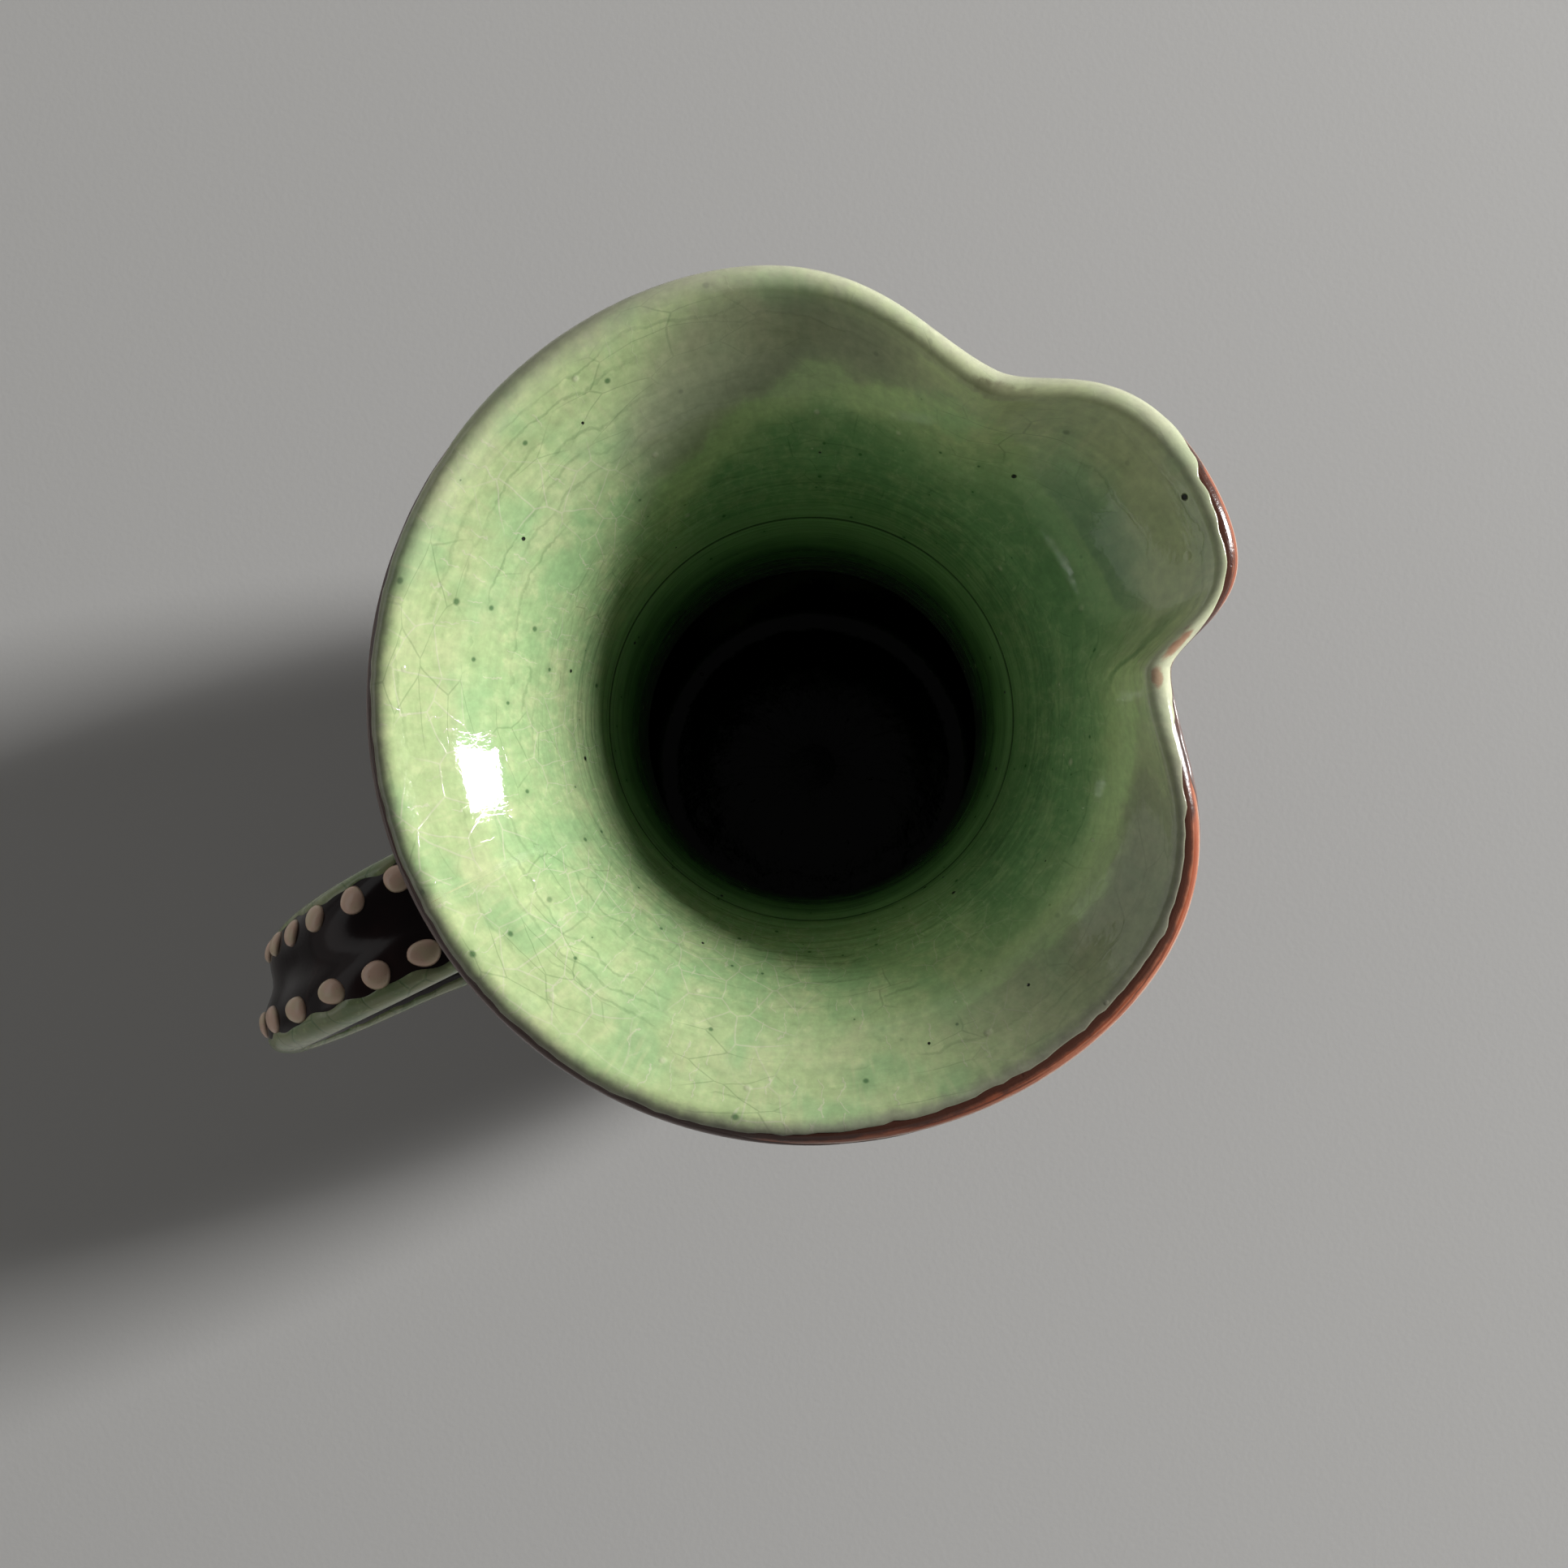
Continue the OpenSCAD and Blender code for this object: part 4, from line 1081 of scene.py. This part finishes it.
class JUG_OT_clay_wall(bpy.types.Operator):
    """Make the clay wall, from the base over the rim to the floor of the hollow"""

    bl_idname = "jug.clay_wall"
    bl_label = "Clay wall"

    def execute(self, context):
        shape = context.scene.jug_shape
        turn = turns()[None, :]
        points, ways, mouth = outline(shape)
        room = film_room(shape, mouth)
        outer = set_in(points, ways, room)
        inner = set_in(points, ways, wall_depth(shape, mouth) - room)
        body = len(points) - MOUTH_ROWS - 1
        side = hollow(shape, 0.0, inner[:body])
        inside = np.concatenate([side, inner[body:]])[::-1]
        reach = np.linspace(0, math.pi, CROWN_ROWS + 2)[1:-1]
        crown = np.stack(crown_arc(shape, reach, 0.0), axis=-1)
        across = np.linspace(0, 1, FLOOR_ROWS)[:, None]
        base = across * np.array([shape.base_radius - shape.foot_bevel, 0.0])
        line = np.concatenate([base, outer, crown, inside])

        def down_line(on_wall):
            """Values down the line: the wall's outside, one on the rim, the mouth's inside, else none."""
            return np.concatenate([
                np.zeros(FLOOR_ROWS), on_wall, np.ones(CROWN_ROWS), on_wall[body:][::-1],
                np.zeros(len(side))])[:, None]

        grid = turned(shape, line[:, :1], line[:, 1:], down_line(mouth ** shape.lip_fade), turn)
        section = np.concatenate([
            np.zeros(FLOOR_ROWS + len(outer)), reach / math.pi, np.ones(len(inside))])[:, None]
        columns, rows = np.ones((1, TURN_COUNT)), np.ones((len(line), 1))
        glazed = glaze_reach(turn[0])[None, :]
        bare_band = np.degrees(glazed - slip_reach(turn[0])[None, :])
        piece = piece_from("clay_wall", skin(grid, (True, True), marks={
            "crown": down_line(smooth(mouth, *CLEAR_SHARES)) * columns,
            "section": section * columns,
            "laid": laid_flat(turn, section * math.pi * shape.rim_wall / 2),
            "red": rows * smooth(bare_band, *RED_BAND),
            "gap": glazed / math.pi - section}))
        settle(piece, red_clay_finish(context.scene.jug_colours), "red_clay", "thrown_body", "flared_mouth")
        return {"FINISHED"}


class JUG_OT_green_lining(bpy.types.Operator):
    """Line the floor, belly, neck and mouth with green glaze that runs over the rim to a ragged edge"""

    bl_idname = "jug.green_lining"
    bl_label = "Green lining"

    def execute(self, context):
        shape = context.scene.jug_shape
        turn = turns()[None, :]
        columns = np.ones((1, TURN_COUNT))
        points, ways, mouth = outline(shape)
        clay = wall_depth(shape, mouth)
        body = len(points) - MOUTH_ROWS - 1
        face = set_in(points, ways, clay + shape.glaze * (1 - smooth(mouth, *THIN_SHARES)))
        side = hollow(shape, shape.glaze, face[:body])
        line = np.concatenate([side, face[body:]])
        run = run_down(line[:, 0], line[:, 1], -1)[:, None]
        ring_run = float(run[len(side), 0])
        way = np.gradient(line, axis=0)
        way /= np.maximum(np.linalg.norm(way, axis=1, keepdims=True), LEAST_STEP)
        shown = set_in(line[:, None, :], way[:, None, :], ripples(run, ring_run, turn))

        reach = glaze_reach(turn[0])[None, :]
        q = np.linspace(0, 1, CROWN_ROWS + 1)[1:, None]
        over = math.pi + q * (reach - math.pi)
        back_over = over[::-BACK_CROWN_STEP]
        crown = np.stack(crown_arc(shape, over, film_over(shape, q)), axis=-1)
        back_crown = np.stack(crown_arc(shape, back_over, -LINING_CROWN_BED), axis=-1)
        back = set_in(points, ways, clay - LINING_BED - film_room(shape, mouth))
        back = np.concatenate([hollow(shape, -LINING_BED, back[:body]), back[body:]])[::-BACK_STEP]
        back[-1] = (0.0, shape.base_thickness - LINING_BED)

        line = np.concatenate([shown, crown, back_crown, back[:, None, :] * columns[..., None]])
        share = np.concatenate([np.zeros(len(side)), mouth[body:]])[:, None]
        pull = layer_pull(shape, share * columns, len(crown) + len(back_crown))
        grid = turned(shape, line[..., 0], line[..., 1], pull, turn)
        grid[0], grid[-1] = grid[0, :1], grid[-1, :1]
        arc, back_arc = (shape.rim_wall / 2 * (a - math.pi) for a in (over, back_over))
        runs = np.concatenate([run * columns, arc, back_arc, run[::-BACK_STEP] * columns])
        edge = runs + shape.rim_wall / 2 * (math.pi - reach)
        # Painted reflection below the rim: where it lies, turning with depth past an angle from the lip
        lean = REFLECTION_LEAN * (np.clip(edge, 0, REFLECTION_LEAN_DEPTH) - REFLECTION_LEAN_MIDDLE) * (turn > REFLECTION_LEAN_PAST)
        rows = np.ones((len(runs), 1))
        piece = piece_from("green_lining", skin(grid, (True, True), marks={
            "laid": laid_flat(turn, runs), "run": runs, "edge": edge,
            "turn": rows * (turn / (2 * math.pi)),
            "pale": rows * round_table(turn, PALE_RIM),
            # Marks that place the painted reflection
            "veil": round_table(turn - lean, REFLECTION_SHARE),
            # Painted shade: the side of the mouth away from the main light
            "shade": rows * smooth(np.cos(turn - SHADE_TURN), *SHADE_COSINES),
            "veil_in": np.hypot(grid[..., 0], grid[..., 1]) - MILLIMETRE * round_table(turn, REFLECTION_START)}))
        settle(piece, green_glaze_finish(context.scene.jug_colours, ring_run),
               "green_glaze", "body_lining", "mouth_lining")
        return {"FINISHED"}


class JUG_OT_dark_coat(bpy.types.Operator):
    """Coat the outside with dark slip, from a wavy edge above the bare foot to the rim"""

    bl_idname = "jug.dark_coat"
    bl_label = "Dark coat"

    def execute(self, context):
        shape = context.scene.jug_shape
        turn = turns()
        foot_curve = outline_curves(shape)[0]
        t = np.linspace(0, 1, CURVE_SAMPLES)
        low = shape.bare_foot + shape.foot_wave * ragged(turn, *FOOT_WAVES)
        start = np.interp(low, curve_at(foot_curve, t)[:, 1], t)[None, :]
        rise = (np.linspace(0, 1, COAT_ROWS) ** COAT_ROW_POWER)[:-1, None]
        share = start + (1 - start) * rise
        points, ways, mouth = (part[BELLY_ROWS:] for part in outline(shape))
        columns = np.ones((1, TURN_COUNT, 1))
        line = np.concatenate([curve_at(foot_curve, share), points[:, None, :] * columns])
        way = np.concatenate([way_at(foot_curve, share), ways[:, None, :] * columns])
        mouth = np.concatenate([np.zeros(len(share)), mouth])[:, None] * columns[..., 0]

        from_edge = np.linalg.norm(line - line[:1], axis=-1)
        round_edge = np.sqrt(np.clip(1 - (1 - np.clip(from_edge / COAT_EDGE_ROUND, 0, 1)) ** 2, 0, 1))
        slip = shape.slip * round_edge * (1 - smooth(mouth, *THIN_SHARES))
        rings = throwing_rings(shape, line[..., 1], turn[None, :]) * smooth(from_edge, 0.0, RING_FADE)
        face = set_in(line, way, rings * (1 - smooth(mouth, *CALM_SHARES)) - slip)
        face[0] = set_in(line[0], way[0], np.full(TURN_COUNT, COAT_EDGE_BED))

        q = np.linspace(0, 1, CROWN_ROWS)[1:, None]
        over = q * slip_reach(turn)[None, :]
        crown = np.stack(crown_arc(shape, over, film_over(shape, q)), axis=-1)
        back_crown = np.stack(crown_arc(shape, over[::-BACK_STEP], -COAT_BED), axis=-1)
        back = set_in(line, way, COAT_BED + film_room(shape, mouth))[::-BACK_STEP]
        line = np.concatenate([face, crown, back_crown, back])
        pull = layer_pull(shape, mouth, len(crown) + len(back_crown))
        grid = turned(shape, line[..., 0], line[..., 1], pull, turn[None, :])
        piece = piece_from("dark_coat", skin(grid, loop=True))
        material = dark_slip_finish(context.scene.jug_colours, "dark_slip_coat", COAT_SHEEN, COAT_GLOSS)
        settle(piece, material, "dark_slip", "body_slip", "mouth_slip")
        return {"FINISHED"}


class JUG_OT_strap_handle(bpy.types.Operator):
    """Pull the strap handle and press its ends on with collars of luting clay"""

    bl_idname = "jug.strap_handle"
    bl_label = "Strap handle and collars"

    def execute(self, context):
        shape, handle = context.scene.jug_shape, context.scene.jug_handle
        path = handle_path(shape, handle)
        material = dark_slip_finish(context.scene.jug_colours, "dark_slip_strap", STRAP_SHEEN, STRAP_GLOSS)
        round_angle = np.linspace(0, 2 * math.pi, SECTION_COUNT, endpoint=False)[None, :]
        run = np.linspace(0, path["length"], STRAP_ROWS)[:, None]
        grid = strap_point(handle, path, run, round_angle)
        grid[0], grid[-1] = seated(path, grid[0]), seated(path, grid[-1])
        strap = piece_from("handle_strap", skin(behind(handle, with_ends(grid)), (True, True)))
        settle(strap, material, "dark_slip", "strap_handle")

        s = np.linspace(0, 1, COLLAR_ROWS)[:, None]
        for name, node, start, sign, seed in (
                ("upper_collar", "upper_lute", 0.0, 1.0, 31),
                ("lower_collar", "lower_lute", path["length"], -1.0, 32)):
            press = 1 + COLLAR_RAGGED_SHARE * ragged(round_angle[0], seed, COLLAR_WAVES)[None, :]
            grow = handle.lute_width * (1 - s) ** 2 * np.clip(press, COLLAR_LEAST_SHARE, 1.0)
            run = start + sign * s * handle.lute_length
            over = strap_point(handle, path, run, round_angle, grow - COLLAR_EDGE_BED * (s >= 1))
            under = strap_point(handle, path, run[::-BACK_STEP], round_angle, -COLLAR_BED)
            over[0], under[-1] = seated(path, over[0]), seated(path, under[-1])
            collar = piece_from(name, skin(behind(handle, np.concatenate([over, under])), loop=True))
            settle(collar, material, "dark_slip", node)
        return {"FINISHED"}


class JUG_OT_edge_glaze(bpy.types.Operator):
    """Run green glaze along both edges of the strap"""

    bl_idname = "jug.edge_glaze"
    bl_label = "Edge glaze"

    def execute(self, context):
        shape, handle = context.scene.jug_shape, context.scene.jug_handle
        path = handle_path(shape, handle)
        material = edge_glaze_finish(context.scene.jug_colours)
        run = np.linspace(handle.lute_length, path["length"] - handle.lute_length, STRAP_ROWS)[:, None]
        along = 2 * math.pi * run[:, 0] / path["length"]
        s = np.linspace(-1, 1, STRIP_ACROSS)[None, :]
        rounded = np.sqrt(np.clip(1 - np.abs(s) ** EDGE_POWER, 0, 1))
        taper = smooth(run, run[0], run[0] + EDGE_TAPER) * (1 - smooth(run, run[-1] - EDGE_TAPER, run[-1]))
        grow = handle.edge_glaze * (rounded * taper * (1 + EDGE_BED_SHARE) - EDGE_BED_SHARE)
        for name, node, side, over_seed, under_seed in (
                ("edge_left", "edge_glaze_left", -1, 41, 46), ("edge_right", "edge_glaze_right", 1, 42, 47)):
            over_wave = 1 + ragged(along, over_seed, OVER_WAVES)[:, None]
            under_wave = 1 + ragged(along, under_seed, UNDER_WAVES)[:, None]
            over = handle.edge_over * (1 - OVER_RAGGED_SHARE * over_wave)
            under = handle.edge_under * (1 - UNDER_RAGGED_SHARE * under_wave)
            round_angle = np.where(s > 0, s * over, s * under)
            if side < 0:
                round_angle = math.pi - round_angle
            top = strap_point(handle, path, run, round_angle, grow)
            bottom = strap_point(handle, path, run, round_angle[:, ::-1], -handle.edge_glaze)
            grid = with_ends(np.concatenate([top, bottom], axis=1))
            piece = piece_from(name, skin(behind(handle, grid), (True, True)))
            settle(piece, material, "green_glaze", node)
        return {"FINISHED"}


class JUG_OT_slip_dots(bpy.types.Operator):
    """Trail a row of cream slip dots along each ridge of the strap"""

    bl_idname = "jug.slip_dots"
    bl_label = "Slip dots"

    def execute(self, context):
        shape, handle = context.scene.jug_shape, context.scene.jug_handle
        path = handle_path(shape, handle)
        material = cream_slip_finish(context.scene.jug_colours)
        count = int((path["length"] - 2 * handle.lute_length) / handle.dot_pitch)
        places = path["length"] / 2 + (np.arange(count) - (count - 1) / 2) * handle.dot_pitch
        rho = np.concatenate([np.linspace(0, 1, DOT_RINGS), [DOT_UNDER_SHARE, 0.0]])[:, None]
        phi = np.linspace(0, 2 * math.pi, DOT_SPOKES, endpoint=False)[None, :]
        bed = np.array([0.0] * (DOT_RINGS - 1) + [DOT_RIM_SHARE, 1.0, 1.0])[:, None]
        for name, node, side, seed in (
                ("dots_left", "slip_dots_left", -1, 51), ("dots_right", "slip_dots_right", 1, 52)):
            dice = np.random.default_rng(seed)
            long, wide, tall = dice.uniform(*DOT_SIZE_SHARES, (3, count, 1, 1))
            drift = dice.uniform(-DOT_DRIFT, DOT_DRIFT, (2, count, 1, 1))
            swing = dice.uniform(0, 2 * math.pi, (2, count, 1, 1))
            two, three = np.cos(2 * phi + swing[0]), np.cos(3 * phi + swing[1])
            wave = 1 + DOT_TWO_SHARE * two + DOT_THREE_SHARE * three
            reach = handle.dot_diameter / 2 * rho * np.clip(wave, *DOT_ROUND_SHARES)
            run = places[:, None, None] + drift[0] + long * reach * np.cos(phi)
            across = handle.dot_row_offset + DOT_ACROSS_SHARE * drift[1] + wide * reach * np.sin(phi)
            share = np.clip(2 * across / strap_width(handle, path, run), *DOT_PLACE_SHARES)
            round_angle = np.arccos(share ** (1 / SIDE_POWER))
            if side < 0:
                round_angle = math.pi - round_angle
            dome = tall * handle.dot_height * np.clip(1 - rho ** DOME_POWERS[0], 0, 1) ** DOME_POWERS[1]
            lift = np.where(bed < 1, dome, 0) - handle.dot_bed * bed
            grids = behind(handle, strap_point(handle, path, run, round_angle, 0.0, lift))
            rise = np.clip(dome / handle.dot_height, 0, 1) * np.ones_like(phi)
            piece = piece_from(name, *(
                skin(grid, (True, True), marks={"rise": marks}) for grid, marks in zip(grids, rise)))
            settle(piece, material, "cream_slip", node)
        return {"FINISHED"}


class JUG_OT_stage(bpy.types.Operator):
    """Set the floor, the lights and the camera"""

    bl_idname = "jug.stage"
    bl_label = "Stage"

    def execute(self, context):
        scene, stage = context.scene, context.scene.jug_stage
        scene.view_settings.view_transform = "Standard"
        ground = bpy.data.meshes.new("floor")
        corners = [(x * FLOOR_HALF, y * FLOOR_HALF, 0) for x, y in ((-1, -1), (1, -1), (1, 1), (-1, 1))]
        ground.from_pydata(corners, [], [(0, 1, 2, 3)])
        ground.materials.append(pale_floor_finish(scene.jug_colours))
        floor = bpy.data.objects.new("floor", ground)
        scene.collection.objects.link(floor)

        add_panel("key_light", stage.key_turn, stage.key_rise, stage.light_distance,
                  stage.key_width, stage.key_height, stage.key_power)
        add_panel("fill_light", stage.fill_turn, stage.fill_rise, stage.light_distance,
                  stage.fill_width, stage.fill_height, stage.fill_power)
        scene.world = soft_room(stage)

        view = bpy.data.cameras.new("photo_camera")
        view.lens, view.sensor_width, view.clip_start = stage.lens, SENSOR_WIDTH, CLIP_START
        camera = bpy.data.objects.new("photo_camera", view)
        scene.collection.objects.link(camera)
        back = (Vector(stage.camera_place) - Vector(stage.camera_aim)).normalized()
        up = Vector((-math.sin(stage.camera_turn), math.cos(stage.camera_turn), 0))
        side = up.cross(back).normalized()
        facing = Matrix((side, back.cross(side), back)).transposed()
        camera.matrix_world = Matrix.Translation(stage.camera_place) @ facing.to_4x4()
        scene.camera = camera
        return {"FINISHED"}


class JUG_PT_jug(bpy.types.Panel):
    """Lists the jug's pieces and sizes"""

    bl_label = "Pouring jug"
    bl_space_type = "VIEW_3D"
    bl_region_type = "UI"
    bl_category = "Jug"

    def draw(self, context):
        for operator in OPERATORS:
            self.layout.operator(operator.bl_idname)
        for key in PROPERTIES:
            group = getattr(context.scene, key)
            box = self.layout.box()
            for name in group.__annotations__:
                box.prop(group, name)


OPERATORS = (
    JUG_OT_clay_wall, JUG_OT_green_lining, JUG_OT_dark_coat, JUG_OT_strap_handle, JUG_OT_edge_glaze,
    JUG_OT_slip_dots, JUG_OT_stage,
)
PROPERTIES = {
    "jug_shape": JugShape, "jug_handle": HandleShape, "jug_colours": JugColours, "jug_stage": JugStage,
}


def register():
    for cls in (*PROPERTIES.values(), *OPERATORS, JUG_PT_jug):
        bpy.utils.register_class(cls)
    for key, cls in PROPERTIES.items():
        setattr(bpy.types.Scene, key, bpy.props.PointerProperty(type=cls))


def unregister():
    for key in PROPERTIES:
        delattr(bpy.types.Scene, key)
    for cls in (JUG_PT_jug, *reversed(OPERATORS), *PROPERTIES.values()):
        bpy.utils.unregister_class(cls)


def main():
    """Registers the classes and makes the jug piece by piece."""
    register()
    bpy.ops.jug.clay_wall()
    bpy.ops.jug.green_lining()
    bpy.ops.jug.dark_coat()
    bpy.ops.jug.strap_handle()
    bpy.ops.jug.edge_glaze()
    bpy.ops.jug.slip_dots()
    bpy.ops.jug.stage()


if __name__ == "__main__":
    main()
